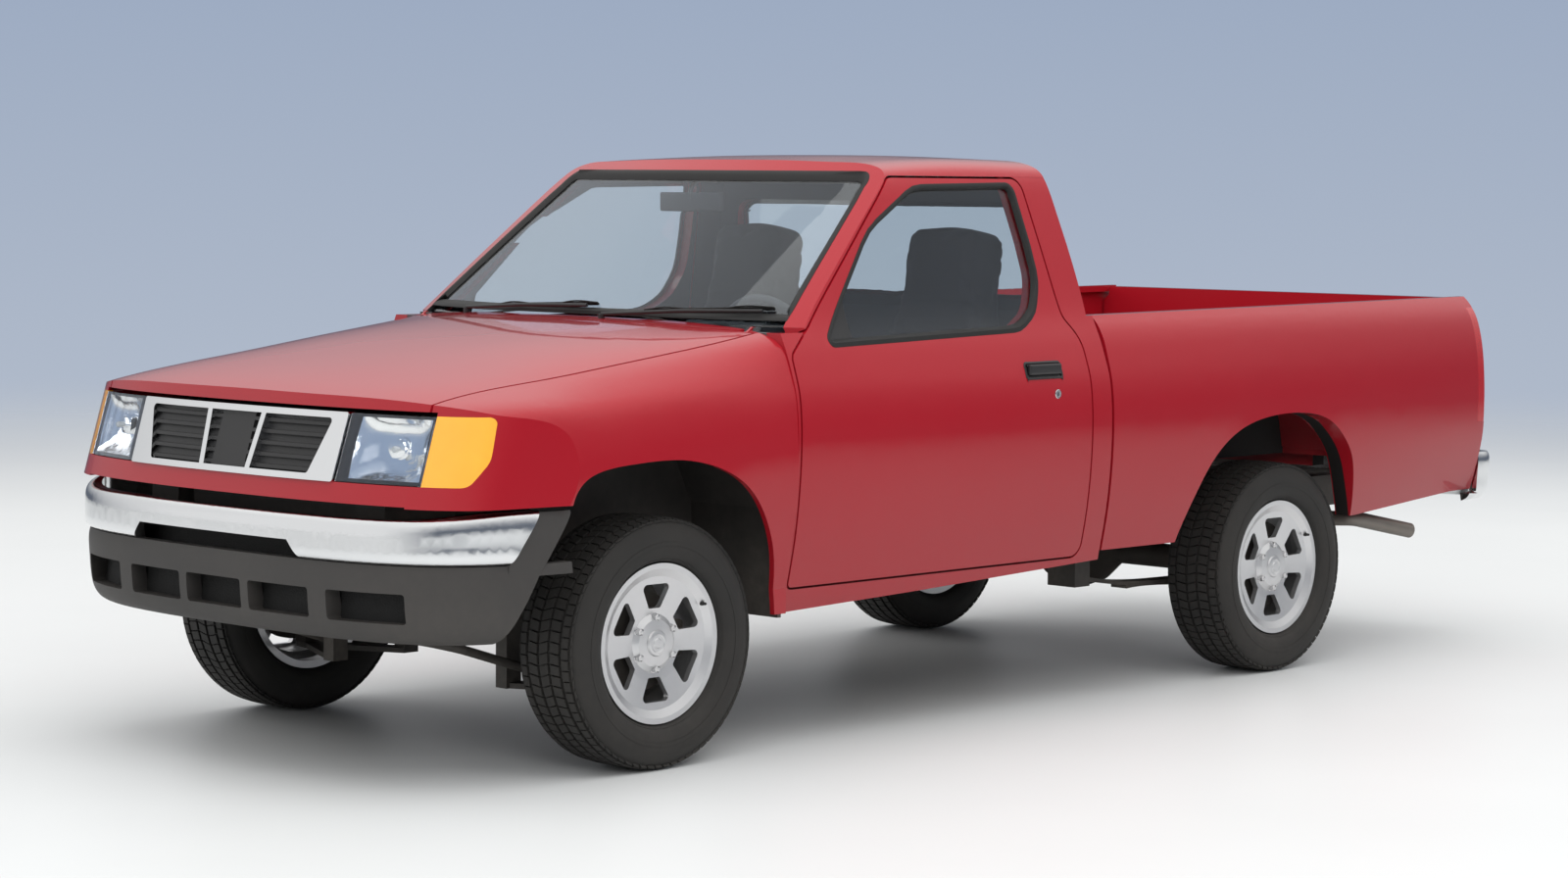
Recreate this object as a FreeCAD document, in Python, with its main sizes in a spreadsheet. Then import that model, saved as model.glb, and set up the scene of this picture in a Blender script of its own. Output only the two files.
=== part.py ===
import FreeCAD, Part
import Sketcher
import math
import os
from FreeCAD import Vector, Placement, Rotation

# Two-door pickup truck, built in millimetres.
# X is the truck's left, -Y is the way it drives, Z is up, the ground is z = 0.
# Every outline below is written with y = 0 at the front axle; place() moves the
# finished piece so that the middle of the truck's length stands over the origin.

os.makedirs("parts", exist_ok=True)
doc = FreeCAD.newDocument("pickup")

SIZES = [
    ("length", 4681, "whole length over both bumpers"),
    ("wheelbase", 2649, "front axle to rear axle"),
    ("nose_reach", 815, "front axle to the front of the bumper"),
    ("tyre_radius", 322, "wheel centre above the ground"),
    ("tyre_width", 215, "width of the tyre"),
    ("bead_radius", 192, "where the tyre sits on the rim"),
    ("lip_radius", 204, "edge of the rim"),
    ("rim_width", 170, "rim from edge to edge"),
    ("track_front", 1394, "between the front tyres' middles"),
    ("track_rear", 1384, "between the rear tyres' middles"),
    ("kingpin", 632, "steering axis from the middle of the truck"),
    ("shut_gap", 6, "gap round doors, lid and tailgate"),
    ("seat_gap", 0.3, "gap between curved faces that sit on each other"),
    ("skin", 18, "depth of the outer layer of doors and lids"),
    ("step_gap", 6, "gap behind the outer layer of a door"),
    ("door_depth", 52, "whole door from outside to inside"),
    ("wall_depth", 46, "cab pillars and roof rails"),
    ("lid_depth", 20, "hood panel"),
    ("fender_depth", 16, "fender panel"),
    ("glass_depth", 5, "window glass"),
    ("rail_width", 60, "frame rail across"),
    ("rail_height", 115, "frame rail upright"),
    ("axle_tube", 38, "rear axle tube radius"),
    ("drum_radius", 135, "rear brake drum"),
    ("disc_radius", 128, "front brake disc"),
    ("hub_face_front", 735, "where the front wheel bolts on"),
    ("hub_face_rear", 730, "where the rear wheel bolts on"),
    ("shaft_radius", 34, "propeller shaft"),
    ("wheel_rim_radius", 190, "steering wheel, middle of its ring"),
    ("wheel_ring", 14, "steering wheel ring thickness, half"),
    ("hinge_pin_radius", 5, "hood hinge pin"),
    ("tow_hole_radius", 13, "hole for a tow ball in the step bumper"),
]
sheet = doc.addObject("Spreadsheet::Sheet", "dims")
for row, (name, value, note) in enumerate(SIZES, 1):
    sheet.set("A%d" % row, name)
    sheet.set("B%d" % row, str(value))
    sheet.setAlias("B%d" % row, name)
    sheet.set("C%d" % row, note)
doc.recompute()


def dim(name):
    return float(sheet.get(name))


LENGTH = dim("length")
BASE = dim("wheelbase")
TYRE = dim("tyre_radius")
GAP = dim("shut_gap")
SEAT = dim("seat_gap")
SKIN = dim("skin")
STEP = dim("step_gap")
DOOR = dim("door_depth")
WALL = dim("wall_depth")
SHIFT = Vector(0, dim("nose_reach") - LENGTH / 2, 0)
nodes = []


def V(x, y, z):
    return Vector(x, y, z)


def place(name, shape):
    piece = doc.addObject("Part::Feature", name)
    piece.Shape = shape
    piece.Placement = Placement(SHIFT, Rotation()).multiply(shape.Placement)
    nodes.append(piece)
    return piece


def box(x0, x1, y0, y1, z0, z1):
    return Part.makeBox(x1 - x0, y1 - y0, z1 - z0, V(x0, y0, z0))


def pair(shape):
    # the piece and its mirror image, as two solids of one node
    return Part.makeCompound([shape, mirrored(shape)])


def mirrored(shape):
    return shape.mirror(V(0, 0, 0), V(1, 0, 0))


def smooth(points):
    curve = Part.BSplineCurve()
    curve.interpolate([V(*p) for p in points])
    return curve.toShape()


def closed_face(edges):
    return Part.Face(Part.Wire(Part.__sortEdges__(edges)))


def flat(points):
    corners = [V(*p) for p in points]
    return Part.Face(Part.makePolygon(corners + corners[:1]))


def rounded(points, radius):
    # polygon with its corners rounded; radius is one number or one for each corner
    n = len(points)
    radii = radius if isinstance(radius, (list, tuple)) else [radius] * n
    corners = [V(*p) for p in points]
    edges = []
    ends = []
    for i in range(n):
        here = corners[i]
        before = (corners[i - 1] - here).normalize()
        after = (corners[(i + 1) % n] - here).normalize()
        r = radii[i]
        if r <= 0:
            ends.append((here, here))
            continue
        half = before.getAngle(after) / 2
        run = r / math.tan(half)
        start = here + before * run
        stop = here + after * run
        centre = here + (before + after).normalize() * (r / math.sin(half))
        middle = centre + (here - centre).normalize() * r
        edges.append(Part.Arc(start, middle, stop).toShape())
        ends.append((start, stop))
    for i in range(n):
        a = ends[i][1]
        b = ends[(i + 1) % n][0]
        if a.distanceToPoint(b) > 0.01:
            edges.append(Part.makeLine(a, b))
    return closed_face(edges)


def side_prism(outline, x0, x1, radius=0):
    # outline is a list of (y, z); the solid runs from x0 to x1
    face = rounded([(x0, y, z) for y, z in outline], radius)
    return face.extrude(V(x1 - x0, 0, 0))


def front_prism(outline, y0, y1, radius=0):
    # outline is a list of (x, z); the solid runs from y0 to y1
    face = rounded([(x, y0, z) for x, z in outline], radius)
    return face.extrude(V(0, y1 - y0, 0))


def plan_prism(outline, z0, z1, radius=0):
    face = rounded([(x, y, z0) for x, y in outline], radius)
    return face.extrude(V(0, 0, z1 - z0))


def rod(a, b, radius):
    start = V(*a)
    run = V(*b) - start
    return Part.makeCylinder(radius, run.Length, start, run)


def pipe(points, radius, bend=40):
    # round bar through the points, each corner turned by an arc
    edges = []
    here = V(*points[0])
    for i in range(1, len(points) - 1):
        corner = V(*points[i])
        before = V(*points[i - 1]) - corner
        after = V(*points[i + 1]) - corner
        room = 0.45 * min(before.Length, after.Length)
        before.normalize()
        after.normalize()
        half = before.getAngle(after) / 2
        turn = min(bend, room * math.tan(half))
        run = turn / math.tan(half)
        centre = corner + (before + after).normalize() * (turn / math.sin(half))
        middle = centre + (corner - centre).normalize() * turn
        edges.append(Part.makeLine(here, corner + before * run))
        edges.append(Part.Arc(corner + before * run, middle, corner + after * run).toShape())
        here = corner + after * run
    edges.append(Part.makeLine(here, V(*points[-1])))
    start = V(*points[0])
    ring = Part.Wire(Part.makeCircle(radius, start, V(*points[1]) - start))
    return Part.Wire(edges).makePipeShell([ring], True, True)


def inset(points, depth):
    # moves a half outline (from the sill up to the middle of the top) inwards
    moved = []
    last = len(points) - 1
    for i, (x, z) in enumerate(points):
        ax, az = points[max(i - 1, 0)]
        bx, bz = points[min(i + 1, last)]
        dx, dz = bx - ax, bz - az
        size = math.hypot(dx, dz)
        moved.append((x - dz / size * depth, z + dx / size * depth))
    moved[0] = (moved[0][0], points[0][1])
    moved[last] = (0, points[last][1] - depth)
    return moved


def section(half, y, low):
    # closed outline across the truck from a half outline that starts low on the left
    left = [(x, y, z) for x, z in half]
    right = [(-x, y, z) for x, z in reversed(half[:-1])]
    over = smooth(left + right)
    x, z = half[0]
    sides = [(x, y, z), (x, y, low), (-x, y, low), (-x, y, z)]
    if z - low < 1:
        sides = [sides[0], sides[-1]]
    edges = [over]
    for a, b in zip(sides[:-1], sides[1:]):
        edges.append(Part.makeLine(V(*a), V(*b)))
    return Part.Wire(Part.__sortEdges__(edges))


def body_loft(halves, depth, low):
    wires = []
    for y, half in halves:
        shape = inset(half, depth) if depth else half
        wires.append(section(shape, y, low))
    return Part.makeLoft(wires, True, False)


def ring_loft(halves, shallow, deep, count=0):
    # the layer between two depths, as one arch-shaped solid; count keeps the left
    # side's first points only
    wires = []
    for y, half in halves:
        outer = inset(half, shallow) if shallow else half
        inner = inset(half, deep)
        if count:
            out_points = [(x, y, z) for x, z in outer[:count]]
            in_points = [(x, y, z) for x, z in inner[:count]]
        else:
            out_points = [(x, y, z) for x, z in outer] + [(-x, y, z) for x, z in reversed(outer[:-1])]
            in_points = [(x, y, z) for x, z in inner] + [(-x, y, z) for x, z in reversed(inner[:-1])]
        edges = [smooth(out_points), smooth(in_points)]
        edges.append(Part.makeLine(V(*out_points[0]), V(*in_points[0])))
        edges.append(Part.makeLine(V(*out_points[-1]), V(*in_points[-1])))
        wires.append(Part.Wire(Part.__sortEdges__(edges)))
    return Part.makeLoft(wires, True, False)


# Body side and cab, as half outlines (x, z) from the sill to the middle of the roof
SIDE = [(776, 350), (794, 400), (806, 460), (818, 520), (829, 590), (838, 680), (842, 760),
        (842, 830), (838, 890), (829, 945), (811, 1000), (792, 1050), (769, 1098)]
GREENHOUSE = [(738, 1190), (705, 1310), (676, 1410), (655, 1478), (632, 1520),
              (585, 1543), (470, 1555), (300, 1561), (0, 1564)]
ROOF_RISE = [(440, 0.90), (700, 0.93), (960, 0.967), (1280, 1.0), (1620, 1.0), (1760, 0.995)]
CAB_START = 440
CAB_LOW = 350


def cab_half(rise):
    top = [(x, 1098 + (z - 1098) * rise) for x, z in GREENHOUSE]
    return SIDE + top


# Windshield: curved across, straight up the rake
SCREEN_PLAN = [(0, 385), (150, 389), (300, 404), (450, 430), (585, 460), (650, 480), (715, 508),
               (770, 540), (880, 620)]
SCREEN_RAKE = 1.28
SCREEN_LEVEL = 1105


def screen_curve(depth, level, plan, rake, base):
    # plan curve moved back by depth measured square to the glass, at a height
    back = depth * math.hypot(1, rake) + (level - base) * rake
    left = [(x, y + back, level) for x, y in plan]
    right = [(-x, y, z) for x, y, z in reversed(left[1:])]
    return right + left


def windshield_side(depth):
    # everything behind the windshield's surface, and behind the firewall below its foot
    points = screen_curve(depth, SCREEN_LEVEL, SCREEN_PLAN, SCREEN_RAKE, SCREEN_LEVEL)
    edges = [smooth(points)]
    far = 2400
    corners = [points[-1], (points[-1][0], far, SCREEN_LEVEL), (points[0][0], far, SCREEN_LEVEL), points[0]]
    for a, b in zip(corners[:-1], corners[1:]):
        edges.append(Part.makeLine(V(*a), V(*b)))
    face = closed_face(edges)
    above = face.extrude(V(0, SCREEN_RAKE * 600, 600))
    below = box(-900, 900, CAB_START + depth, far, 200, SCREEN_LEVEL - 12)
    neck = face.extrude(V(0, 0, -30))
    return above.fuse([below, neck])


BACK_PLAN = [(0, 1742), (300, 1742), (600, 1740), (690, 1737), (734, 1730), (758, 1718), (775, 1697), (786, 1664),
             (795, 1620), (808, 1560)]
BACK_LEAN = -0.2
BACK_LEVEL = 1112


def back_side(depth):
    # everything ahead of the cab's back: leaning above the belt, upright below it
    points = [(x, y - depth, BACK_LEVEL) for x, y in BACK_PLAN]
    points = [(-x, y, z) for x, y, z in reversed(points[1:])] + points
    near = -400
    corners = [points[-1], (points[-1][0], near, BACK_LEVEL), (points[0][0], near, BACK_LEVEL), points[0]]
    edges = [smooth(points)]
    for a, b in zip(corners[:-1], corners[1:]):
        edges.append(Part.makeLine(V(*a), V(*b)))
    above = closed_face(edges).extrude(V(0, BACK_LEAN * 600, 600))
    below = box(-900, 900, -400, BACK_END - depth, 200, BACK_LEVEL)
    return above.fuse(below)


BACK_END = 1742
CAB_HALVES = [(y, cab_half(rise)) for y, rise in ROOF_RISE]
LEFT = box(0, 900, -900, 4000, 0, 1800)
cab_width = body_loft(CAB_HALVES, WALL + SEAT, CAB_LOW)
cab_inner = cab_width.common(windshield_side(WALL + SEAT)).common(back_side(WALL + SEAT))

# Front end: hood and fenders as half outlines, each from the middle of the hood out and down
FRONT_HALVES = [
    (-860, [(0, 894), (150, 893), (300, 890), (430, 884), (540, 875), (630, 864), (690, 850), (728, 832),
            (750, 810), (760, 786), (766, 756), (770, 718), (770, 670), (768, 615), (762, 556), (752, 498), (738, 430)]),
    (-720, [(0, 951), (150, 950), (300, 947), (430, 942), (540, 934), (635, 923), (703, 909), (745, 891),
            (768, 868), (779, 841), (786, 800), (790, 745), (790, 685), (788, 625), (782, 560), (772, 500), (758, 430)]),
    (-570, [(0, 990), (150, 989), (300, 986), (430, 981), (540, 973), (640, 960), (714, 945), (763, 929),
            (792, 909), (805, 878), (812, 824), (816, 755), (817, 690), (815, 620), (808, 560), (798, 500), (784, 430)]),
    (-290, [(0, 1041), (150, 1040), (300, 1036), (430, 1028), (540, 1016), (645, 997), (722, 974), (774, 951),
            (808, 925), (823, 893), (832, 845), (838, 780), (838, 710), (834, 640), (825, 560), (814, 500), (800, 430)]),
    (0, [(0, 1081), (150, 1080), (300, 1076), (430, 1068), (540, 1056), (650, 1036), (728, 1010), (780, 980),
         (814, 948), (830, 905), (838, 850), (842, 785), (842, 710), (836, 640), (825, 560), (814, 500), (800, 430)]),
    (250, [(0, 1105), (150, 1104), (300, 1101), (430, 1095), (540, 1086), (660, 1069), (738, 1042), (786, 1005),
           (816, 962), (832, 912), (839, 855), (842, 790), (842, 715), (836, 645), (825, 562), (814, 500), (800, 430)]),
    (470, [(0, 1119), (150, 1118), (300, 1116), (430, 1113), (540, 1109), (660, 1102), (738, 1088), (780, 1066),
           (808, 1006), (828, 945), (837, 880), (842, 800), (842, 730), (836, 650), (825, 565), (814, 500), (800, 430)]),
]
NOSE_PLAN = [(0, -745), (200, -742), (400, -727), (560, -702), (660, -674), (735, -634), (782, -584),
             (804, -520), (818, -430), (840, -300), (900, -100)]
NOSE_LEVEL = 820
NOSE_LEAN = 0.31
HOOD_FRONT = 926


def slab(near, far, lean, height):
    # upright sheet between two plan curves at one level, leaning with height
    edges = [smooth(near), smooth(far)]
    edges.append(Part.makeLine(V(*near[0]), V(*far[0])))
    edges.append(Part.makeLine(V(*near[-1]), V(*far[-1])))
    return closed_face(edges).extrude(V(0, lean * height, height))


def nose_side(depth):
    # everything behind the slanting front face
    points = screen_curve(depth, NOSE_LEVEL, NOSE_PLAN, NOSE_LEAN, NOSE_LEVEL)
    far = 700
    corners = [points[-1], (points[-1][0], far, NOSE_LEVEL), (points[0][0], far, NOSE_LEVEL), points[0]]
    edges = [smooth(points)]
    for a, b in zip(corners[:-1], corners[1:]):
        edges.append(Part.makeLine(V(*a), V(*b)))
    face = closed_face(edges)
    above = face.extrude(V(0, NOSE_LEAN * 400, 400))
    below = face.extrude(V(0, NOSE_LEAN * -500, -500))
    return above.fuse(below).removeSplitter()


def front_solid(depth):
    halves = [(y, list(reversed(half))) for y, half in FRONT_HALVES]
    return body_loft(halves, depth, 352).common(nose_side(depth))


def nose_slab(shallow, deep):
    # the slanting front face between two depths, under the hood's front edge
    low = 640
    near = screen_curve(shallow, low, NOSE_PLAN[:-3], NOSE_LEAN, NOSE_LEVEL)
    far = screen_curve(deep, low, NOSE_PLAN[:-3], NOSE_LEAN, NOSE_LEVEL)
    return slab(near, far, NOSE_LEAN, HOOD_FRONT - 4 - low)


def front_layer(depth, zone):
    # the front end's own skin between the surface and a depth, inside a zone
    whole = front_out.common(zone)
    return whole.cut(front_solid(depth).common(zone))


front_out = front_solid(0)
front_in = front_solid(dim("fender_depth"))

# Shut lines, seen from the side (y, z)
DOOR_OUTLINE = [(446, 430), (1650, 430), (1652, 1048), (1604, 1110), (1540, 1500), (996, 1500), (556, 1107), (458, 1034)]
DOOR_CORNERS = [12, 40, 120, 60, 40, 40, 60, 30]
WINDOW = [(604, 1060), (1404, 1082), (1490, 1128), (1530, 1215), (1522, 1320), (1500, 1482), (1085, 1474), (868, 1358)]
WINDOW_CORNERS = [12, 120, 90, 120, 300, 26, 150, 300]


def grown(outline, by, keep_z=False):
    # outline moved outwards on every side by one distance
    n = len(outline)
    area = sum(outline[i - 1][0] * outline[i][1] - outline[i][0] * outline[i - 1][1] for i in range(n))
    sign = 1 if area > 0 else -1
    moved = []
    for i in range(n):
        p = Vector(outline[i - 1][0], outline[i - 1][1], 0)
        q = Vector(outline[i][0], outline[i][1], 0)
        r = Vector(outline[(i + 1) % n][0], outline[(i + 1) % n][1], 0)
        first = (q - p).normalize()
        second = (r - q).normalize()
        out_a = Vector(first.y, -first.x, 0) * sign
        out_b = Vector(second.y, -second.x, 0) * sign
        middle = (out_a + out_b).normalize()
        moved.append((q.x + middle.x * by / middle.dot(out_a), q.y + middle.y * by / middle.dot(out_a)))
    return moved


def door_prism(grow):
    radii = [max(r + grow, 4) for r in DOOR_CORNERS]
    return side_prism(grown(DOOR_OUTLINE, grow), 300, 900, radii)


LIP = 24
door_full = door_prism(0)
door_small = door_prism(-LIP - GAP)
window_hole = side_prism(WINDOW, 300, 900, WINDOW_CORNERS)

# The step between a door and its opening follows flat strips along the truck
DOOR_POINTS = len(SIDE) + 6


def core(depth):
    strip = inset(cab_half(0.955), depth)[:DOOR_POINTS]
    strip = [(strip[0][0], 300)] + strip[1:] + [(strip[-1][0] - 60, 1560), (300, 1560), (300, 300)]
    return flat([(x, 400, z) for x, z in strip]).extrude(V(0, 1400, 0))


# Doors: full outline at the skin, the rest stepped back from the edge
door_shell = ring_loft(CAB_HALVES, 0, DOOR, DOOR_POINTS).common(door_full)
door_shell = door_shell.cut(window_hole.fuse(door_prism(10).cut(door_small).common(core(SKIN))))
place("door_left", door_shell)
place("door_right", mirrored(door_shell))

# Cab shell: pillars, roof rails and sills; the door opening is stepped like the door
ROOF_SPLIT = 1506
opening = door_prism(8 - LIP).fuse(door_prism(GAP).cut(core(SKIN + STEP)))
side_frame = ring_loft(CAB_HALVES, 0, WALL, DOOR_POINTS).cut(opening)
sill_cut = side_prism([(380, 200), (1800, 200), (1800, 414), (1000, 382), (380, 362)], 0, 900)
side_frame = side_frame.common(box(0, 900, 400, 1800, 300, ROOF_SPLIT)).cut(sill_cut)
side_frame = side_frame.common(windshield_side(0)).common(back_side(0))
# rubber buffers that the closed door rests on
for buffer_y in (455, 1642):
    side_frame = side_frame.fuse(rod((800, buffer_y, 800), (842 - SKIN - SEAT, buffer_y, 800), 4.5))
roof_solid = ring_loft(CAB_HALVES, 0, WALL).common(box(-900, 900, 700, 1800, ROOF_SPLIT, 1700))
roof_solid = roof_solid.common(windshield_side(0)).common(back_side(0))

cab_back_width = body_loft(CAB_HALVES, WALL + 2 * SEAT, CAB_LOW)
REAR_HOLE = [(-600, 1150), (600, 1150), (556, 1432), (-556, 1432)]
rear_prism = front_prism(REAR_HOLE, 1400, 1800, 60)


def back_curve(depth):
    points = [(x, y - depth, BACK_LEVEL) for x, y in BACK_PLAN]
    return [(-x, y, z) for x, y, z in reversed(points[1:])] + points


def back_slab(shallow, deep):
    # the cab's back between two depths: leaning above the belt, upright below it
    above = slab(back_curve(shallow), back_curve(deep), BACK_LEAN, 600)
    below = box(-900, 900, BACK_END - deep, BACK_END - shallow, 460, BACK_LEVEL)
    return above.fuse(below).common(cab_back_width)


PANE = dim("glass_depth")
GLASS_IN = 10
# the windshield's top runs up into a recess in the roof's front edge
SCREEN_TOP = [(-606, 1400), (606, 1400), (606, 1511), (-606, 1511)]


def screen_sheet(shallow, deep):
    low = SCREEN_LEVEL - 1
    near = screen_curve(shallow, low, SCREEN_PLAN, SCREEN_RAKE, SCREEN_LEVEL)
    far = screen_curve(deep, low, SCREEN_PLAN, SCREEN_RAKE, SCREEN_LEVEL)
    return slab(near, far, SCREEN_RAKE, 600)


recess = screen_sheet(-3, GLASS_IN + PANE + SEAT).common(front_prism(grown(SCREEN_TOP, SEAT), 500, 1300, [1, 1, 44, 44]))
place("roof", roof_solid.cut(recess))
place("cab_sides", pair(side_frame.cut(recess)))
screen = screen_sheet(GLASS_IN, GLASS_IN + PANE)
screen = screen.common(cab_width).fuse(screen.common(front_prism(SCREEN_TOP, 500, 1300, [1, 1, 44, 44]))).removeSplitter()
place("cab_back", back_slab(0, WALL).cut(rear_prism))
rear_small = front_prism(grown(REAR_HOLE, -SEAT), 1400, 1800, 60)
rear_pane = back_slab(12, 12 + PANE).common(rear_small)
place("cab_glass", Part.makeCompound([screen, rear_pane]))
window_small = side_prism(grown(WINDOW, -SEAT), 300, 900, WINDOW_CORNERS)
door_pane = ring_loft(CAB_HALVES, 12, 12 + PANE, DOOR_POINTS).common(window_small)
place("door_left_glass", door_pane)
place("door_right_glass", mirrored(door_pane))

# Floor of the cab with the firewall and the tunnel
FLOOR = 478
FLOOR_END = BACK_END - WALL - SEAT
tunnel = side_prism([(450, FLOOR - 18), (FLOOR_END, FLOOR - 18), (FLOOR_END, 562), (900, 600), (450, 680)], -150, 150)
tunnel_hole = side_prism([(300, FLOOR - 60), (1800, FLOOR - 60), (1800, 544), (890, 584), (300, 672)], -134, 134)
floor = box(-860, 860, CAB_START + 0.5, FLOOR_END, FLOOR - 18, FLOOR)
firewall = box(-860, 860, CAB_START + 0.5, CAB_START + 34, FLOOR - 18, SCREEN_LEVEL - 13)
toe = side_prism([(470, FLOOR - 10), (640, FLOOR - 10), (640, FLOOR), (476, 640), (470, 640)], -860, 860)
cab_floor = floor.fuse([firewall, tunnel, toe]).cut(tunnel_hole)
# sills under the doors
sill = side_prism([(CAB_START + 0.5, 398), (1000, 398), (FLOOR_END, 422), (FLOOR_END, FLOOR), (CAB_START + 0.5, FLOOR)], 700, 860)
cab_floor = cab_floor.fuse([sill, mirrored(sill)]).common(cab_width)
# room for the closed doors
door_room = door_prism(GAP).cut(body_loft(CAB_HALVES, DOOR + GAP, CAB_LOW))
cab_floor = cab_floor.cut(door_room.fuse(mirrored(door_room)))
# hood hinge: two ears and a pin on each side of the firewall's top
PIN_Y = 455
PIN_Z = 1095
PIN = dim("hinge_pin_radius")
for side in (-1, 1):
    cab_floor = cab_floor.cut(box(side * 656 - 10, side * 656 + 10, CAB_START, CAB_START + 35, 1077, 1200))
    for ear in (-13, 13):
        middle = side * 656 + ear
        cab_floor = cab_floor.fuse(box(middle - 3, middle + 3, PIN_Y - 9, PIN_Y + 9, 1080, 1104))
    cab_floor = cab_floor.fuse(rod((side * 656 - 16, PIN_Y, PIN_Z), (side * 656 + 16, PIN_Y, PIN_Z), PIN))
place("cab_floor", cab_floor)

# Hood, cowl and fenders cut from the front master
HOOD_REAR = [(0, 333), (200, 338), (400, 356), (560, 388), (640, 413), (686, 427)]
HOOD_SIDE = [(686, 427), (682, 250), (672, 0), (660, -290), (650, -560), (644, -760), (640, -900)]


def hood_prism(grow):
    side = [(x + grow, y + (grow if y > 400 else 0), 500) for x, y in HOOD_SIDE]
    rear = [(x, y + grow, 500) for x, y in HOOD_REAR[:-1]]
    rear = [(-x, y, z) for x, y, z in reversed(rear[1:])] + rear
    edges = [smooth([(-side[0][0], side[0][1], 500)] + rear + [side[0]])]
    edges.append(smooth(side))
    edges.append(smooth([(-x, y, z) for x, y, z in side]))
    end = side[-1]
    edges.append(Part.makeLine(V(*end), V(-end[0], end[1], 500)))
    return closed_face(edges).extrude(V(0, 0, 900))


hood_zone = hood_prism(0).common(box(-900, 900, -900, 500, HOOD_FRONT, 1300))
hood = front_layer(dim("lid_depth"), hood_zone)
for side in (-1, 1):
    arm = side_prism([(385, 1060), (385, 1078), (430, 1092), (PIN_Y, 1106), (PIN_Y, 1084), (430, 1072)],
                     side * 656 - 4, side * 656 + 4)
    eye = rod((side * 656 - 4, PIN_Y, PIN_Z), (side * 656 + 4, PIN_Y, PIN_Z), 11)
    hole = rod((side * 656 - 5, PIN_Y, PIN_Z), (side * 656 + 5, PIN_Y, PIN_Z), PIN + SEAT)
    hood = hood.fuse(arm.fuse(eye)).cut(hole)
place("hood", hood)
half_shell = front_layer(dim("fender_depth"), box(0, 900, -900, CAB_START - 0.3, 352, 1300))
half_shell = half_shell.cut(hood_prism(GAP).common(box(-900, 900, -900, 500, HOOD_FRONT - GAP, 1400)))

ARCH_FRONT = [(-352, 690), (-305, 756), (-230, 779), (-144, 787), (26, 788), (120, 771), (202, 741), (265, 700),
              (313, 647), (352, 580), (376, 515), (390, 440), (396, 386), (398, 330)]
ARCH_REAR = [(2080, 400), (2105, 470), (2169, 590), (2250, 690), (2353, 756), (2480, 790), (2627, 800), (2740, 792),
             (2834, 765), (2905, 715), (2958, 653), (2992, 560), (3014, 464), (3020, 400)]


def arch_prism(outline, foot, x0, x1):
    edges = [smooth([(x0, y, z) for y, z in outline])]
    chain = [outline[-1], (outline[-1][0], 200), (foot, 200), outline[0]]
    for a, b in zip(chain[:-1], chain[1:]):
        edges.append(Part.makeLine(V(x0, a[0], a[1]), V(x0, b[0], b[1])))
    return closed_face(edges).extrude(V(x1 - x0, 0, 0))


front_arch = arch_prism(ARCH_FRONT, -700, 560, 900)
rear_arch = arch_prism(ARCH_REAR, 2000, 500, 900)
LAMP_SPLIT = 640
nose_zone = box(0, LAMP_SPLIT, -900, -560, 300, HOOD_FRONT - GAP)
fender = half_shell.cut(nose_zone).cut(front_arch)
fender = fender.cut(box(0, 900, -900, -330, 200, 696))
fender = fender.cut(box(0, 900, 0, 500, 200, 364))
fender = fender.cut(box(0, LAMP_SPLIT, -560, 500, 200, 1300))
fender = fender.cut(box(632, 666, 415, 441, 1040, 1200))
# lamps and grille stand edge to edge in one opening under the hood
LAMP = [(413, 917), (668, 917), (668, 749), (409, 749)]
CORNER = [(668.6, 917), (860, 917), (860, 749), (668.6, 749)]
CORNER_SIDE = [(-548, 917), (-900, 917), (-900, 749), (-628, 749), (-574, 812)]
CORNER_TURNS = [14, 1, 1, 34, 70]
GRILLE = [(-412.4, 917), (412.4, 917), (408.4, 749), (-408.4, 749)]
corner_prism = front_prism(CORNER, -900, -400, 1).common(side_prism(CORNER_SIDE, 560, 900, CORNER_TURNS))
mouth = [(-668.6, HOOD_FRONT), (668.6, HOOD_FRONT), (668.6, 749), (-668.6, 749)]
front_holes = front_prism(mouth, -900, -480, 1).fuse(corner_prism)
fender = fender.cut(front_holes)
place("fenders", pair(fender))
nose_half = half_shell.common(nose_zone).cut(front_holes).cut(box(0, 900, -900, -330, 200, 700))
place("nose_panel", nose_half.fuse(mirrored(nose_half)).removeSplitter())
cowl = front_out.common(box(-LAMP_SPLIT, LAMP_SPLIT, 200, CAB_START + 0.2, 1040, 1300)).cut(hood_prism(GAP))
cowl = cowl.cut(windshield_side(9.7).common(box(-900, 900, 200, 900, SCREEN_LEVEL - 1.3, 1400)))
place("cowl", cowl)

# Bed: two thick side walls, floor with front wall and wheel tubs, tailgate
BED_START = CAB_START + 1312
BED_END = 3726
BED_FLOOR = 684
RAIL_FRONT = 1112
RAIL_REAR = 1132
BED_INSIDE = 735
# upper part of the side wall at the bed's front and rear end
RAIL_A = [(838, 890), (829, 945), (814, 1000), (799, 1045), (784, 1074), (769, 1094), (757, 1106), (752, RAIL_FRONT)]
RAIL_B = [(839, 890), (834, 945), (825, 1000), (814, 1042), (799, 1078), (779, 1106), (761, 1125), (753, RAIL_REAR)]


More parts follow.
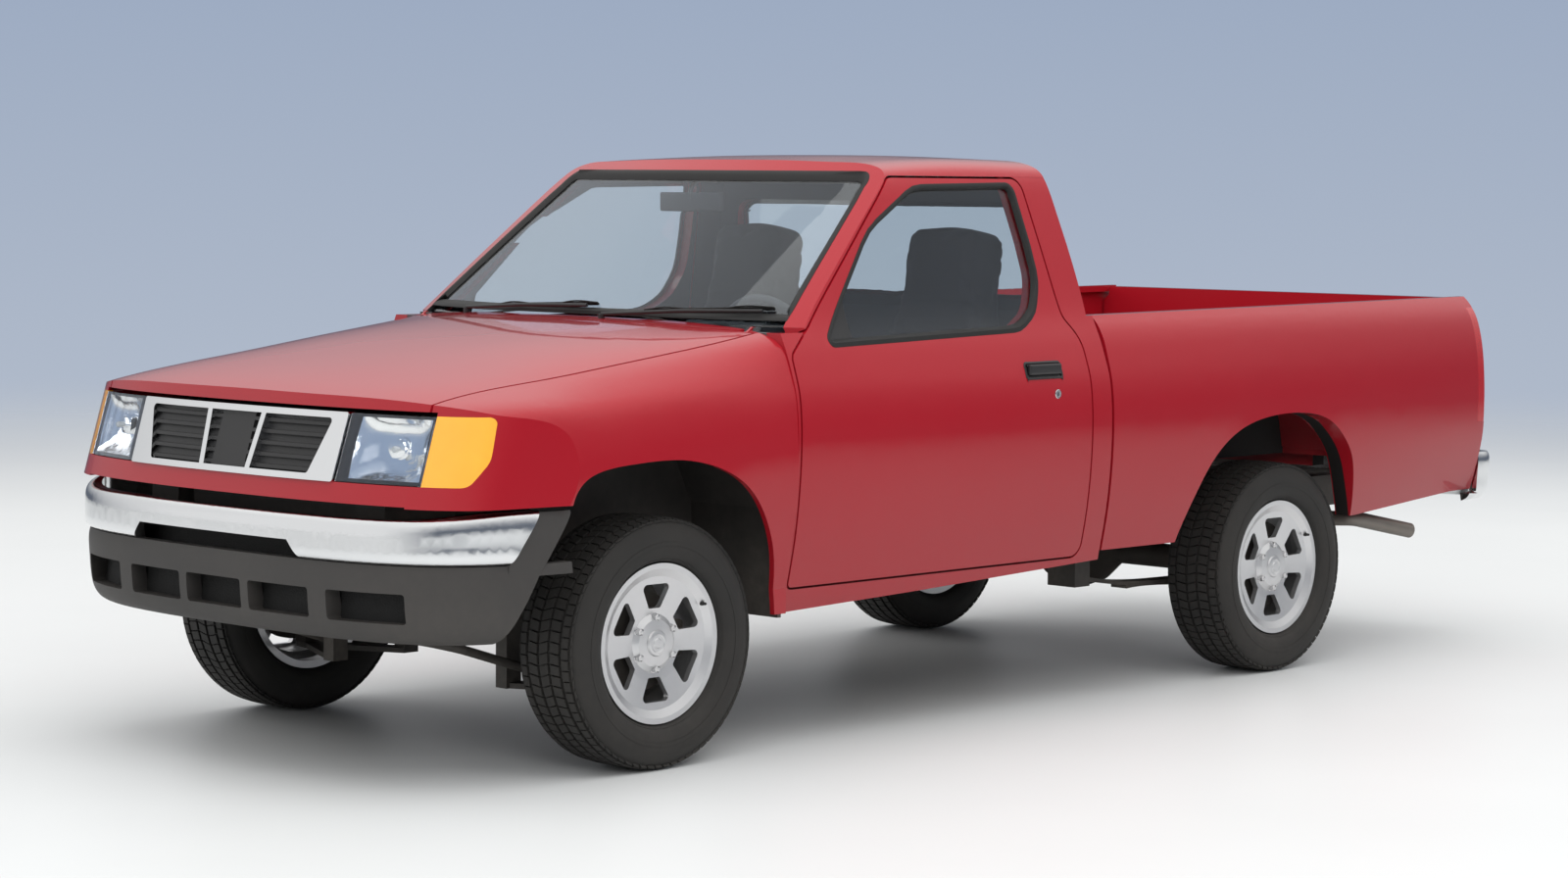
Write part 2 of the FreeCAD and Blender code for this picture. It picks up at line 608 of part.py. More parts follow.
def bed_half(y, tuck, under):
    # tuck draws the whole wall in, under draws its lower part in below the crease
    share = (y - BED_START) / (BED_END - BED_START)
    low = [(x - tuck - under * max(0, 690 - z) / 200, z) for x, z in SIDE[:8]]
    high = [(a[0] + (b[0] - a[0]) * share - tuck, a[1] + (b[1] - a[1]) * share) for a, b in zip(RAIL_A, RAIL_B)]
    outer = [(x, y, z) for x, z in low + high]
    foot = outer[0]
    top = outer[-1][2]
    back = [outer[-1], (BED_INSIDE - 22, y, top), (BED_INSIDE - 22, y, top - 22),
            (BED_INSIDE, y, top - 26), (BED_INSIDE, y, foot[2]), foot]
    edges = [smooth(outer)]
    for a, b in zip(back[:-1], back[1:]):
        edges.append(Part.makeLine(V(*a), V(*b)))
    return Part.Wire(Part.__sortEdges__(edges))


bed_wall = Part.makeLoft([bed_half(BED_START, 0, 0), bed_half(2600, 0, 0), bed_half(3080, 3, 12),
                          bed_half(3400, 9, 20), bed_half(BED_END, 20, 22)], True, False)
under_edge = side_prism([(1700, 200), (3800, 200), (3800, 503), (3600, 500), (3050, 459), (2600, 438), (1700, 438)], 0, 900)
LAMP_LOW = 726
LAMP_HIGH = 1098
bed_wall = bed_wall.cut(rear_arch).cut(under_edge)
bed_wall = bed_wall.cut(box(742, 900, 3686, 3800, LAMP_LOW, LAMP_HIGH))
place("bed_sides", pair(bed_wall))
tail_lamp = Part.makeLoft([bed_half(3400, 9, 20), bed_half(BED_END, 20, 22)], True, False)
tail_lamp = tail_lamp.common(box(742 + SEAT, 900, 3686 + SEAT, 3724, LAMP_LOW + SEAT, LAMP_HIGH - SEAT))
place("tail_lamps", pair(tail_lamp))

GATE_FRONT = 3676
floor_plate = box(-BED_INSIDE, BED_INSIDE, BED_START + 2, GATE_FRONT - GAP - 2, BED_FLOOR - 22, BED_FLOOR)
front_wall = box(-BED_INSIDE, BED_INSIDE, BED_START + 2, BED_START + 40, BED_FLOOR - 22, RAIL_FRONT - 28)
front_wall = front_wall.fuse(box(24 - BED_INSIDE, BED_INSIDE - 24, BED_START + 2, BED_START + 40, BED_FLOOR, RAIL_FRONT - 3))
tub_outline = [(2270, 640), (3030, 640), (2990, 820), (2900, 884), (2400, 884), (2300, 820)]
tub = side_prism(tub_outline, 515, BED_INSIDE, [1, 1, 60, 60, 60, 60])
tub_hole = side_prism(grown(tub_outline, -12) , 527, BED_INSIDE + 10, [1, 1, 48, 48, 48, 48])
tub_hole = tub_hole.fuse(box(527, BED_INSIDE + 10, 2282, 3018, 600, 660))
bed_floor = floor_plate.fuse([front_wall, tub, mirrored(tub)])
for sill_y in (1800, 2180, 3080, 3560):
    bed_floor = bed_floor.fuse(box(-600, 600, sill_y, sill_y + 60, 600, BED_FLOOR - 20))
bed_floor = bed_floor.cut(tub_hole.fuse(mirrored(tub_hole)))
for rib in range(-6, 7):
    x = rib * 72
    bed_floor = bed_floor.cut(box(x - 14, x + 14, BED_START + 60, GATE_FRONT - 60, BED_FLOOR - 5, BED_FLOOR + 1))
place("bed_floor", bed_floor)

gate_outline = [(-728, 655), (728, 655), (728, RAIL_REAR - 50), (706, RAIL_REAR - 34), (706, RAIL_REAR - 4),
                (-706, RAIL_REAR - 4), (-706, RAIL_REAR - 34), (-728, RAIL_REAR - 50)]
gate = front_prism(gate_outline, GATE_FRONT, BED_END, [14, 14, 8, 8, 10, 10, 8, 8])
gate = gate.cut(front_prism([(-640, 720), (640, 720), (640, 1010), (-640, 1010)], BED_END - 8, BED_END + 5, 20))
gate = gate.cut(front_prism([(-90, 1030), (90, 1030), (90, 1080), (-90, 1080)], BED_END - 22, BED_END + 5, 10))
# pins at its lower corners, on which it turns
place("tailgate", gate.fuse(rod((SEAT - BED_INSIDE, 3700, 664), (BED_INSIDE - SEAT, 3700, 664), 7)))

# Bumpers: one cross-section carried along a plan curve
BUMPER_PLAN = [(0, -815), (220, -812), (400, -797), (560, -764), (680, -708), (762, -628), (806, -528), (826, -420), (831, -338)]


def along(plan, outline):
    # outline gives (inset from the curve, z) corners, the same number at every point of the plan
    points = [(-x, y) for x, y in reversed(plan[1:])] + list(plan)
    wires = []
    last = len(points) - 1
    for i, (x, y) in enumerate(points):
        ax, ay = points[max(i - 1, 0)]
        bx, by = points[min(i + 1, last)]
        dx, dy = bx - ax, by - ay
        size = math.hypot(dx, dy)
        nx, ny = -dy / size, dx / size
        corners = [V(x + nx * depth, y + ny * depth, z) for depth, z in outline(abs(x))]
        face = smooth([tuple(c) for c in corners[:-2]])
        rest = corners[-3:] + corners[:1]
        edges = [face] + [Part.makeLine(a, b) for a, b in zip(rest[:-1], rest[1:])]
        wires.append(Part.Wire(Part.__sortEdges__(edges)))
    return Part.makeLoft(wires, True, False)


def bumper_section(x):
    top = 668 + 22 * min(max((x - 640) / 170, 0), 1)
    return [(22, 558), (4, 567), (0, 604), (0, top - 34), (6, top - 11), (26, top), (44, top), (44, 558)]


def valance_section(x):
    return [(58, 364), (30, 384), (14, 440), (10, 500), (10, 540), (14, 557.7), (44, 557.7), (74, 364)]


bumper = along(BUMPER_PLAN, bumper_section)
notch = front_prism([(-338, 500), (338, 500), (338, 560), (300, 604), (-300, 604), (-338, 560)], -900, -700)
end_cut = side_prism([(-430, 700), (-525, 556), (-525, 500), (-200, 500), (-200, 700)], -900, 900)
bumper = bumper.cut(notch).cut(end_cut)
bumper = bumper.fuse([box(362, 418, -790, -709, 580, 640), box(-418, -362, -790, -709, 580, 640)])
place("front_bumper", bumper.common(box(-900, 900, -900, 0, 300, 800)))
valance = along(BUMPER_PLAN, valance_section)
end_piece = along(BUMPER_PLAN, lambda x: [(10, 530), (8, 560), (8, 600), (8, 640), (10, 670), (14, 684), (30, 684), (30, 530)])
end_piece = end_piece.common(side_prism([(-433.4, 694), (-524.6, 556), (-524.6, 530), (-440, 530), (-344, 676), (-342, 694)], -900, 900))
VALANCE_HOLES = [(-360, -140), (-110, 110), (140, 360), (420, 640), (-640, -420)]
for x0, x1 in VALANCE_HOLES:
    hole = front_prism([(x0, 416), (x1, 416), (x1, 490), (x0, 490)], -900, -600, 8)
    valance = valance.cut(hole)
valance = valance.cut(side_prism([(-556, 300), (-540, 346), (-470, 470), (-440, 530), (-300, 530), (-200, 530), (-200, 300)], -900, 900))
place("front_valance", valance.fuse(end_piece))

STEP_PLAN = [(0, 3866), (300, 3866), (560, 3865), (690, 3861), (752, 3848), (786, 3820), (803, 3775), (810, 3705), (813, 3620)]


def step_section(x):
    if x < 640:
        return [(70, 468), (36, 474), (10, 530), (0, 596), (2, 611), (10, 622), (118, 622), (118, 490)]
    return [(26, 468), (18, 474), (5, 530), (0, 596), (2, 611), (8, 622), (28, 622), (28, 490)]


rear_bar = along([(x, -y) for x, y in STEP_PLAN], step_section)
rear_room = box(-900, 900, BED_END + GAP, 4000, 300, 800).fuse(box(-900, 900, 3640, 4000, 300, 494))
rear_bar = rear_bar.mirror(V(0, 0, 0), V(0, 1, 0)).common(rear_room)
rear_bar = rear_bar.fuse([box(362, 418, 3712, 3790, 500, 540), box(-418, -362, 3712, 3790, 500, 540)])
hollow = side_prism([(3760, 400), (3784, 400), (3784, 480), (3814, 492), (3842, 545), (3848, 610), (3760, 610)], -600, 600)
rear_bar = rear_bar.cut(hollow).cut(rod((0, 3800, 400), (0, 3800, 700), dim("tow_hole_radius")))
place("rear_bumper", rear_bar)

# Lamps, grille and its frame, set into the front


def shrunk_front(outline, by, y0, y1, radius):
    return front_prism(grown(outline, -by), y0, y1, radius)


headlamp = front_layer(46, shrunk_front(LAMP, SEAT, -900, -480, 4))
place("headlamps", pair(headlamp))
corner_shape = shrunk_front(CORNER, SEAT, -900, -400, 1).common(side_prism(grown(CORNER_SIDE, -SEAT), 560, 900, CORNER_TURNS))
corner_lamp = front_layer(dim("fender_depth"), corner_shape)
place("corner_lamps", pair(corner_lamp))
frame_outer = shrunk_front(GRILLE, SEAT, -900, -480, 6)
GRILLE_MOUTH = [(-366, 901), (366, 901), (318, 765), (-318, 765)]
frame_inner = front_prism(GRILLE_MOUTH, -900, -480, 10)
divider = front_prism([(84, 764), (102, 764), (118, 902), (100, 902)], -900, -480)
frame_ring = frame_outer.cut(frame_inner).fuse([divider, mirrored(divider)])
grille_frame = nose_slab(-6, 14).common(frame_ring)
place("grille_frame", grille_frame)
bars = box(-66, 66, -900, -500, 700, 950)
for level in (768, 796, 824, 852, 880):
    bars = bars.fuse(box(-372, 372, -900, -500, level, level + 9))
grille_zone = front_prism(grown(GRILLE_MOUTH, -SEAT), -900, -480, 9)
bars = nose_slab(5, 14 + SEAT).common(bars).common(grille_zone).cut(divider.fuse(mirrored(divider)))
backing = nose_slab(14 + SEAT, 22).common(frame_outer)
grille = backing.fuse(bars)
place("grille", grille)

# Chassis
RAIL_IN = 360
RAIL_OUT = RAIL_IN + dim("rail_width")
rail_side = [(-705, 530), (-430, 550), (250, 550), (400, 458), (1850, 458), (2200, 575), (2950, 575), (3300, 540),
             (3712, 540), (3712, 440), (3300, 440), (2980, 470), (2260, 470), (1900, 343), (380, 343), (220, 430),
             (-430, 430), (-705, 440)]
rail = side_prism(rail_side, RAIL_IN, RAIL_OUT, [4, 60, 60, 60, 60, 60, 60, 60, 4, 4, 60, 60, 60, 60, 60, 60, 60, 4])
rail_core = side_prism(grown(rail_side, -6), RAIL_IN - 1, RAIL_OUT - 6)
frame = rail.cut(rail_core).fuse(mirrored(rail.cut(rail_core)))
for y0, y1, z0, z1 in ((-640, -570, 440, 520), (560, 640, 343, 357), (1660, 1716, 430, 456), (2130, 2190, 480, 540),
                       (3080, 3130, 505, 540), (3640, 3700, 450, 520)):
    frame = frame.fuse(box(6 - RAIL_OUT, RAIL_OUT - 6, y0, y1, z0, z1))
cross = front_prism([(-372, 440), (-300, 330), (-150, 300), (150, 300), (300, 330), (372, 440), (372, 470), (300, 400),
                     (-300, 400), (-372, 470)], -90, 50)
frame = frame.fuse(cross)
for sill_y in (1800, 2180, 3080, 3560):
    pad = box(RAIL_IN, RAIL_OUT, sill_y + 5, sill_y + 55, 452, 600)
    frame = frame.fuse([pad, mirrored(pad)])
bracket = box(RAIL_IN, RAIL_OUT, -709, -690, 440, 650)
frame = frame.fuse([bracket, mirrored(bracket)])
hanger = box(RAIL_OUT - 10, 515, 1990, 2060, 286, 440)
shackle = box(RAIL_OUT - 10, 515, 3190, 3230, 408, 520)
frame = frame.fuse([hanger, mirrored(hanger), shackle, mirrored(shackle)])
frame = frame.removeSplitter()
place("frame", frame)

AXLE_Z = TYRE
TUBE = dim("axle_tube")
case = [(-640, 0), (-640, TUBE), (-170, TUBE), (-90, 100), (-40, 118), (40, 118), (90, 100), (170, TUBE), (640, TUBE), (640, 0)]
case = Part.Face(Part.makePolygon([V(x, BASE + r, AXLE_Z) for x, r in case + case[:1]]))
axle = case.revolve(V(0, BASE, AXLE_Z), V(1, 0, 0), 360)
axle = axle.fuse(rod((0, 2500, AXLE_Z + 14), (0, BASE, AXLE_Z + 14), 48))
FACE_REAR = dim("hub_face_rear")
for side in (-1, 1):
    axle = axle.fuse(rod((side * 652, BASE, AXLE_Z), (side * 716, BASE, AXLE_Z), dim("drum_radius")))
    axle = axle.fuse(rod((side * 630, BASE, AXLE_Z), (side * FACE_REAR, BASE, AXLE_Z), 70))
    axle = axle.fuse(box(side * 485 - 32, side * 485 + 32, BASE - 60, BASE + 60, AXLE_Z - TUBE - 8, AXLE_Z))
place("rear_axle", axle)


def leaf(thick, line):
    # one leaf under its upper line (y, z), 60 mm wide
    upper = [(485, y, z) for y, z in line]
    lower = [(x, y, z - thick) for x, y, z in upper]
    edges = [smooth(upper), smooth(lower), Part.makeLine(V(*upper[0]), V(*lower[0])), Part.makeLine(V(*upper[-1]), V(*lower[-1]))]
    return closed_face(edges).extrude(V(60, 0, 0)).translated(V(-30, 0, 0))


# the springs hang under the axle: long leaf, short leaf and the clamp plate
seat_z = AXLE_Z - TUBE - 8 - SEAT
spring = leaf(12, [(2060.3, 312), (2330, 281), (BASE - 66, seat_z), (BASE + 66, seat_z), (2930, 318), (3189.7, 424)])
spring = spring.fuse(leaf(12, [(2240, 276), (BASE - 66, seat_z - 12), (BASE + 66, seat_z - 12), (2880, 292), (3010, 334)]))
spring = spring.fuse(box(453, 517, BASE - 58, BASE + 58, seat_z - 36, seat_z - 22))
place("leaf_springs", pair(spring))

shaft = rod((0, 700, 410), (0, 2600, AXLE_Z + 12), dim("shaft_radius")).common(box(-100, 100, 821, 2499.8, 200, 600))
place("propshaft", shaft)
engine = box(-190, 190, -430, 150, 400, 830).fuse([box(-150, 150, 150, 330, 400, 600), box(-105, 105, 330, 820.7, 370, 530)])
place("engine", engine)
tank = box(-345, -70, 1740, 2110, 290, 470)
place("fuel_tank", tank.makeFillet(30, tank.Edges))
muffler = rod((235, 1150, 372), (235, 1640, 372), 78)
tail = pipe([(190, 60, 520), (235, 60, 520), (235, 380, 400), (235, 900, 372), (235, 2200, 372), (270, 2420, 520), (270, 2900, 520),
             (282, 3020, 440), (310, 3092, 425), (560, 3120, 426), (690, 3180, 432), (738, 3430, 380)], 24)
place("exhaust", muffler.fuse(tail))

# Inner fenders with the radiator support
liner = side_prism([(-415, 480), (-415, 700), (-330, 830), (330, 830), (425, 640), (438, 400), (438, 340), (425, 340), (425, 400),
                    (412, 636), (322, 818), (-322, 818), (-403, 694), (-403, 480)], 470, 812)
wall = side_prism([(-640, 550), (330, 550), (430, 560), (430, 960), (-100, 960), (-560, 900), (-640, 900)], RAIL_OUT - 4, 474)
apron = liner.fuse(wall)
apron = apron.cut(box(748, 900, -460, -320, 340, 702))
apron = apron.common(front_solid(dim("fender_depth") + SEAT))
radiator = box(-330, 330, -612, -572, 520, 880)
support = box(RAIL_OUT - 60, RAIL_OUT + 50, -640, -600, 551, 880)
tie = box(-474, 474, -640, -600, 880, 905)
apron_all = apron.fuse([mirrored(apron), radiator, support, mirrored(support), tie]).removeSplitter()
place("inner_fenders", apron_all)

# Front suspension: two arms on each side and the anti-roll bar
KING = dim("kingpin")
TOP_BALL = TYRE + 130
LOW_BALL = TYRE - 130


def wishbone(z, inner, spread):
    arm = plan_prism([(KING + 20, -22), (KING + 20, 22), (KING - 40, 34), (inner + 20, spread), (inner, spread),
                      (inner, spread - 50), (KING - 95, 0), (inner, 50 - spread), (inner, -spread),
                      (inner + 20, -spread), (KING - 40, -34)], z, z + 14)
    return arm


upper = wishbone(TOP_BALL, RAIL_OUT, 120)
lower_arm = wishbone(LOW_BALL - 14, 330, 150)
link = box(330, 372, -150, -100, LOW_BALL - 14, 345).fuse(box(330, 372, 100, 150, LOW_BALL - 14, 345))
lower_arm = lower_arm.fuse([link, box(330, 372, 100, 150, 300, 430), box(330, 372, -150, -100, 300, 430)])
bar = pipe([(-400, -60, 214), (-400, -330, 300), (-360, -400, 320), (360, -400, 320), (400, -330, 300), (400, -60, 214)], 12, 60)
bar_link = rod((400, -60, LOW_BALL - 4), (400, -60, 216), 9)
lower_arm = lower_arm.fuse(bar_link)
place("control_arms", Part.makeCompound([upper, mirrored(upper), lower_arm.fuse([mirrored(lower_arm), bar])]))

# Steering knuckles with hub, disc and caliper
FACE_FRONT = dim("hub_face_front")


def knuckle():
    upright = side_prism([(-24, LOW_BALL), (24, LOW_BALL), (30, TYRE), (24, TOP_BALL), (-24, TOP_BALL), (-30, TYRE)],
                         KING - 24, KING + 20)
    hub = rod((KING - 30, 0, TYRE), (FACE_FRONT, 0, TYRE), 46)
    flange = rod((FACE_FRONT - 12, 0, TYRE), (FACE_FRONT, 0, TYRE), 72)
    disc = rod((690, 0, TYRE), (712, 0, TYRE), dim("disc_radius"))
    caliper = side_prism([(70, TYRE - 55), (140, TYRE - 45), (140, TYRE + 45), (70, TYRE + 55)], 668, 722, 14)
    bracket = box(KING - 10, 680, 24, 110, TYRE - 30, TYRE + 30)
    arm = box(KING - 30, KING + 10, -120, 0, TYRE - 70, TYRE - 50)
    return upright.fuse([hub, flange, disc, caliper, bracket, arm]).removeSplitter()


place("knuckle_left", knuckle())
place("knuckle_right", mirrored(knuckle()))

# Inside the cab
dash = side_prism([(474.3, 704), (560, 672), (690, 760), (720, 900), (700, 1010), (640, 1072), (474.3, 1086)], -800, 800, [2, 30, 30, 30, 30, 30, 2])
dash = dash.cut(side_prism([(640, 690), (800, 690), (800, 880), (664, 880)], -660, -120, 12))
COLUMN_END = (370, 806, 972)
column = rod((370, 640, 915), COLUMN_END, 30)
dash = dash.fuse([column])
dash = dash.common(body_loft(CAB_HALVES, DOOR + GAP, CAB_LOW)).common(windshield_side(WALL + SEAT))
place("dashboard", dash)
place("gear_console", side_prism([(900, 600), (1180, 586.667), (1180, 650), (1000, 700), (910, 700)], -80, 80))


def seat(middle):
    base = side_prism([(860, FLOOR), (1420, FLOOR), (1420, 640), (1360, 700), (900, 720), (850, 660)], middle - 245, middle + 245,
                      [10, 10, 40, 60, 50, 40])
    back = side_prism([(1300, 660), (1440, 640), (1500, 700), (1606, 1330), (1590, 1376), (1540, 1376), (1500, 1330), (1440, 1130)],
                      middle - 245, middle + 245, [10, 10, 30, 20, 16, 16, 60, 60])
    half = [(242, 600), (238, 960), (196, 1050), (158, 1120), (144, 1260), (132, 1382)]
    outline = [(middle + x, z) for x, z in half] + [(middle - x, z) for x, z in reversed(half)]
    turns = [20, 70, 60, 60, 200, 52]
    front = front_prism(outline, 800, 1700, turns + turns[::-1])
    return base.fuse(back.common(front)).removeSplitter()


place("seat_left", seat(395))
place("seat_right", seat(-395))
ring = Part.makeTorus(dim("wheel_rim_radius"), dim("wheel_ring"), V(0, 0, 0), V(0, 0, 1))
boss = Part.makeCylinder(52, 40, V(0, 0, -32), V(0, 0, 1))
spokes = box(-185, 185, -24, 24, -20, -2).fuse(box(-24, 24, -185, 0, -20, -2))
handwheel = ring.fuse([boss, spokes])
COLUMN_DIR = V(0, 166, 57).normalize()
tilt = Rotation(V(0, 0, 1), COLUMN_DIR)
hub_point = V(*COLUMN_END) + COLUMN_DIR * 32
handwheel.Placement = Placement(hub_point, tilt)
place("steering_wheel", handwheel)

# Wipers lying at the foot of the windshield
def screen_point(x, z, lift):
    # a point on the windshield's surface, lifted off it
    ax = abs(x)
    for (x0, y0), (x1, y1) in zip(SCREEN_PLAN[:-1], SCREEN_PLAN[1:]):
        if x0 <= ax <= x1:
            y = y0 + (y1 - y0) * (ax - x0) / (x1 - x0)
            break
    size = math.hypot(1, SCREEN_RAKE)
    y = y + (z - SCREEN_LEVEL) * SCREEN_RAKE
    return (x, y - lift / size, z + lift * SCREEN_RAKE / size)


def wiper(pivot_x, tip_x):
    arm = pipe([screen_point(pivot_x, 1112, 16), screen_point((pivot_x + tip_x) / 2, 1124, 20), screen_point(tip_x, 1136, 12)], 5, 300)
    post = rod((pivot_x, screen_point(pivot_x, 1112, 16)[1], 1080), screen_point(pivot_x, 1112, 16), 9)
    return arm.fuse(post)


wipers = Part.makeCompound([wiper(150, 640), wiper(-450, 60)])
place("wipers", wipers.cut(front_solid(-SEAT)))

# Wheels
HALF_TYRE = [("tyre_width", 0.5, -70.5, "bead_radius", 1, 0.3), ("tyre_width", 0.5, -70.5, "lip_radius", 1, 1),
             ("tyre_width", 0.5, -96, "lip_radius", 1, 10), ("tyre_width", 0.5, -107.5, "tyre_radius", 1, -74),
             ("tyre_width", 0.5, -104, "tyre_radius", 1, -34), ("tyre_width", 0.5, -92, "tyre_radius", 1, -8),
             ("tyre_width", 0.5, -78, "tyre_radius", 1, 0)]
HALF_TYRE_BACK = [("tyre_width", 0.5, -row[2], row[3], row[4], row[5]) for row in reversed(HALF_TYRE)]
RIM_PROFILE = [(0, 204), (7, 204), (14, 192), (38, 192), (58, 172), (112, 172), (128, 192), (156, 192), (163, 204), (170, 204),
               (169, 190), (158, 170), (150, 100), (146, 74), (156, 60), (158, 34), (152, 0), (123, 0), (123, 76), (134, 100),
               (140, 160), (112, 164), (58, 164), (36, 182), (0, 184)]


def turned(name, rows, base):
    body = doc.addObject("PartDesign::Body", name)
    sketch = body.newObject("Sketcher::SketchObject", name + "_profile")
    plane = [f for f in body.Origin.OriginFeatures if f.Role == "XY_Plane"][0]
    sketch.AttachmentSupport = [(plane, "")]
    sketch.MapMode = "FlatFace"
    spots = [(dim(a) * fa + da, dim(r) * fr + dr) for a, fa, da, r, fr, dr in rows]
    for i, (a, r) in enumerate(spots):
        b, s = spots[(i + 1) % len(spots)]
        sketch.addGeometry(Part.LineSegment(V(a, r, 0), V(b, s, 0)))
    for i in range(len(spots)):
        sketch.addConstraint(Sketcher.Constraint("Coincident", i, 2, (i + 1) % len(spots), 1))
    for i, row in enumerate(rows):
        a, fa, da, r, fr, dr = row
        c = sketch.addConstraint(Sketcher.Constraint("DistanceX", -1, 1, i, 1, spots[i][0]))
        sketch.setExpression("Constraints[%d]" % c, "dims.%s * %g + %g" % (a, fa, da))
        c = sketch.addConstraint(Sketcher.Constraint("DistanceY", -1, 1, i, 1, spots[i][1]))
        sketch.setExpression("Constraints[%d]" % c, "dims.%s * %g + %g" % (r, fr, dr))
    turn = body.newObject("PartDesign::Revolution", name + "_turn")
    turn.Profile = sketch
    turn.ReferenceAxis = (sketch, ["H_Axis"])
    turn.Angle = 360
    body.Placement = base
    doc.recompute()
    nodes.append(body)
    return body


TYRE_ROWS = HALF_TYRE + HALF_TYRE_BACK
# each wheel: name, side (+1 is the left), tyre middle, y of the axle, inner edge of the rim
WHEELS = [("front_left", 1, "track_front", 0, dim("hub_face_front")),
          ("front_right", -1, "track_front", 0, dim("hub_face_front")),
          ("rear_left", 1, "track_rear", BASE, dim("hub_face_rear")),
          ("rear_right", -1, "track_rear", BASE, dim("hub_face_rear"))]


def rim_shape():
    # rim at x = 0 .. rim_width along X, mounting face at x = 123
    outline = [V(a, r, 0) for a, r in RIM_PROFILE]
    solid = Part.Face(Part.makePolygon(outline + outline[:1])).revolve(V(0, 0, 0), V(1, 0, 0), 360)
    hole = rounded([(100, -20, 88), (100, 20, 88), (100, 52, 150), (100, -52, 150)], [6, 6, 12, 12])
    hole = hole.extrude(V(100, 0, 0))
    for i in range(6):
        cutter = hole.copy()
        cutter.rotate(V(0, 0, 0), V(1, 0, 0), 60 * i)
        solid = solid.cut(cutter)
    return solid


rim_master = rim_shape()
for label, side, track, station, face in WHEELS:
    middle = side * dim(track) / 2
    tyre_base = Placement(SHIFT + V(middle - dim("tyre_width") / 2, station, TYRE), Rotation())
    tyre = turned("tyre_" + label, TYRE_ROWS, tyre_base)
    tyre.setExpression("Placement.Base.z", "dims.tyre_radius")
    rim = rim_master.copy()
    if side < 0:
        rim = mirrored(rim)
    rim.translate(V(side * (face - 123), station, TYRE))
    place("rim_" + label, rim)

doc.recompute()
faults = 0
for item in doc.Objects:
    if "Invalid" in item.State or "Error" in item.State:
        faults += 1
        print("state", item.Label, item.State)
for piece in nodes:
    shape = piece.Shape
    if shape.isNull() or not shape.isValid() or not shape.Solids:
        faults += 1
        print("bad shape", piece.Label)
    else:
        shape.exportStep("parts/%s.step" % piece.Label)
    bounds = shape.optimalBoundingBox(False)
    print("%-18s solids %2d  x %7.1f %7.1f  y %8.1f %8.1f  z %7.1f %7.1f  vol %8.3f l" % (
        piece.Label, len(shape.Solids), bounds.XMin, bounds.XMax, bounds.YMin, bounds.YMax, bounds.ZMin, bounds.ZMax,
        shape.Volume / 1e6))
print("nodes", len(nodes), "faults", faults)
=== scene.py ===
import math

import bmesh
import bpy
from mathutils import Matrix, Vector


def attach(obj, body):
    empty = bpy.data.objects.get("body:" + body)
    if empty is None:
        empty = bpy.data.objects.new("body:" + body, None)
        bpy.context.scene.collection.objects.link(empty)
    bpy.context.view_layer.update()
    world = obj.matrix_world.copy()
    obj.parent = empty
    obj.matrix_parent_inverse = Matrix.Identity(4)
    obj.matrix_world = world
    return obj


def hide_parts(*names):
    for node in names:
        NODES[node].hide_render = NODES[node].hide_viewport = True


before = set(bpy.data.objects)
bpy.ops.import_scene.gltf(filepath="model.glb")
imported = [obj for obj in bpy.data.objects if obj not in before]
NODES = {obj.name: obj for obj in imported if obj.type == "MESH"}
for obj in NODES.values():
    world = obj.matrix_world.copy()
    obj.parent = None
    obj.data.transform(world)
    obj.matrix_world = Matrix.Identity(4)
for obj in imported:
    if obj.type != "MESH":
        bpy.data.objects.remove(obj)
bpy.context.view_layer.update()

# Pickup truck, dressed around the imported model. Meshes are in metres; X is the truck's
# left and -Y is the way it drives. Places in the calls below are millimetres measured
# from the front axle, as in the part's source; spot() turns them into the row frame.

AXLE_SHIFT = -1525.5
WHEELBASE = 2649
AXLE_HEIGHT = 322
# y of the axle, half the track and the rim's inner edge
AXLES = {"front": (0, 697, 612), "rear": (WHEELBASE, 692, 607)}


def spot(x, y, z):
    return Vector((x / 1000, (y + AXLE_SHIFT) / 1000, z / 1000))


# Selecting and shaping

def only(*objects):
    if bpy.context.object and bpy.context.object.mode != "OBJECT":
        bpy.ops.object.mode_set(mode="OBJECT")
    bpy.ops.object.select_all(action="DESELECT")
    for obj in objects:
        obj.select_set(True)
    bpy.context.view_layer.objects.active = objects[0]


def edit(obj, kind="FACE", every=False):
    only(obj)
    bpy.ops.object.mode_set(mode="EDIT")
    bpy.ops.mesh.select_mode(type=kind)
    bpy.ops.mesh.select_all(action="SELECT" if every else "DESELECT")


def done():
    bpy.ops.object.mode_set(mode="OBJECT")


def pick(obj, test):
    # selects the faces for which test(middle, normal) holds
    mesh = bmesh.from_edit_mesh(obj.data)
    mesh.faces.ensure_lookup_table()
    for face in mesh.faces:
        face.select_set(bool(test(face.calc_center_median(), face.normal)))
    bmesh.update_edit_mesh(obj.data)


def settle(obj):
    # bakes place, turn and size into the mesh
    only(obj)
    bpy.ops.object.transform_apply(location=True, rotation=True, scale=True)
    return obj


def modifier(obj, kind, **settings):
    only(obj)
    mod = obj.modifiers.new(kind.lower(), kind)
    for key, value in settings.items():
        setattr(mod, key, value)
    bpy.ops.object.modifier_apply(modifier=mod.name)


def soften(obj, angle=35):
    only(obj)
    bpy.ops.object.shade_smooth_by_angle(angle=math.radians(angle))
    return obj


def bevel(obj, width, segments=2, limit=30):
    modifier(obj, "BEVEL", width=width / 1000, segments=segments, limit_method="ANGLE",
             angle_limit=math.radians(limit), harden_normals=False)
    return soften(obj)


def tidy(obj, gap=0.0001):
    edit(obj, every=True)
    bpy.ops.mesh.remove_doubles(threshold=gap)
    bpy.ops.mesh.normals_make_consistent(inside=False)
    done()
    return obj


def dished(obj, looks, edge, move):
    # insets the faces that look one way and moves what is inside
    edit(obj)
    pick(obj, looks)
    bpy.ops.mesh.inset(thickness=edge)
    bpy.ops.transform.translate(value=move)
    done()


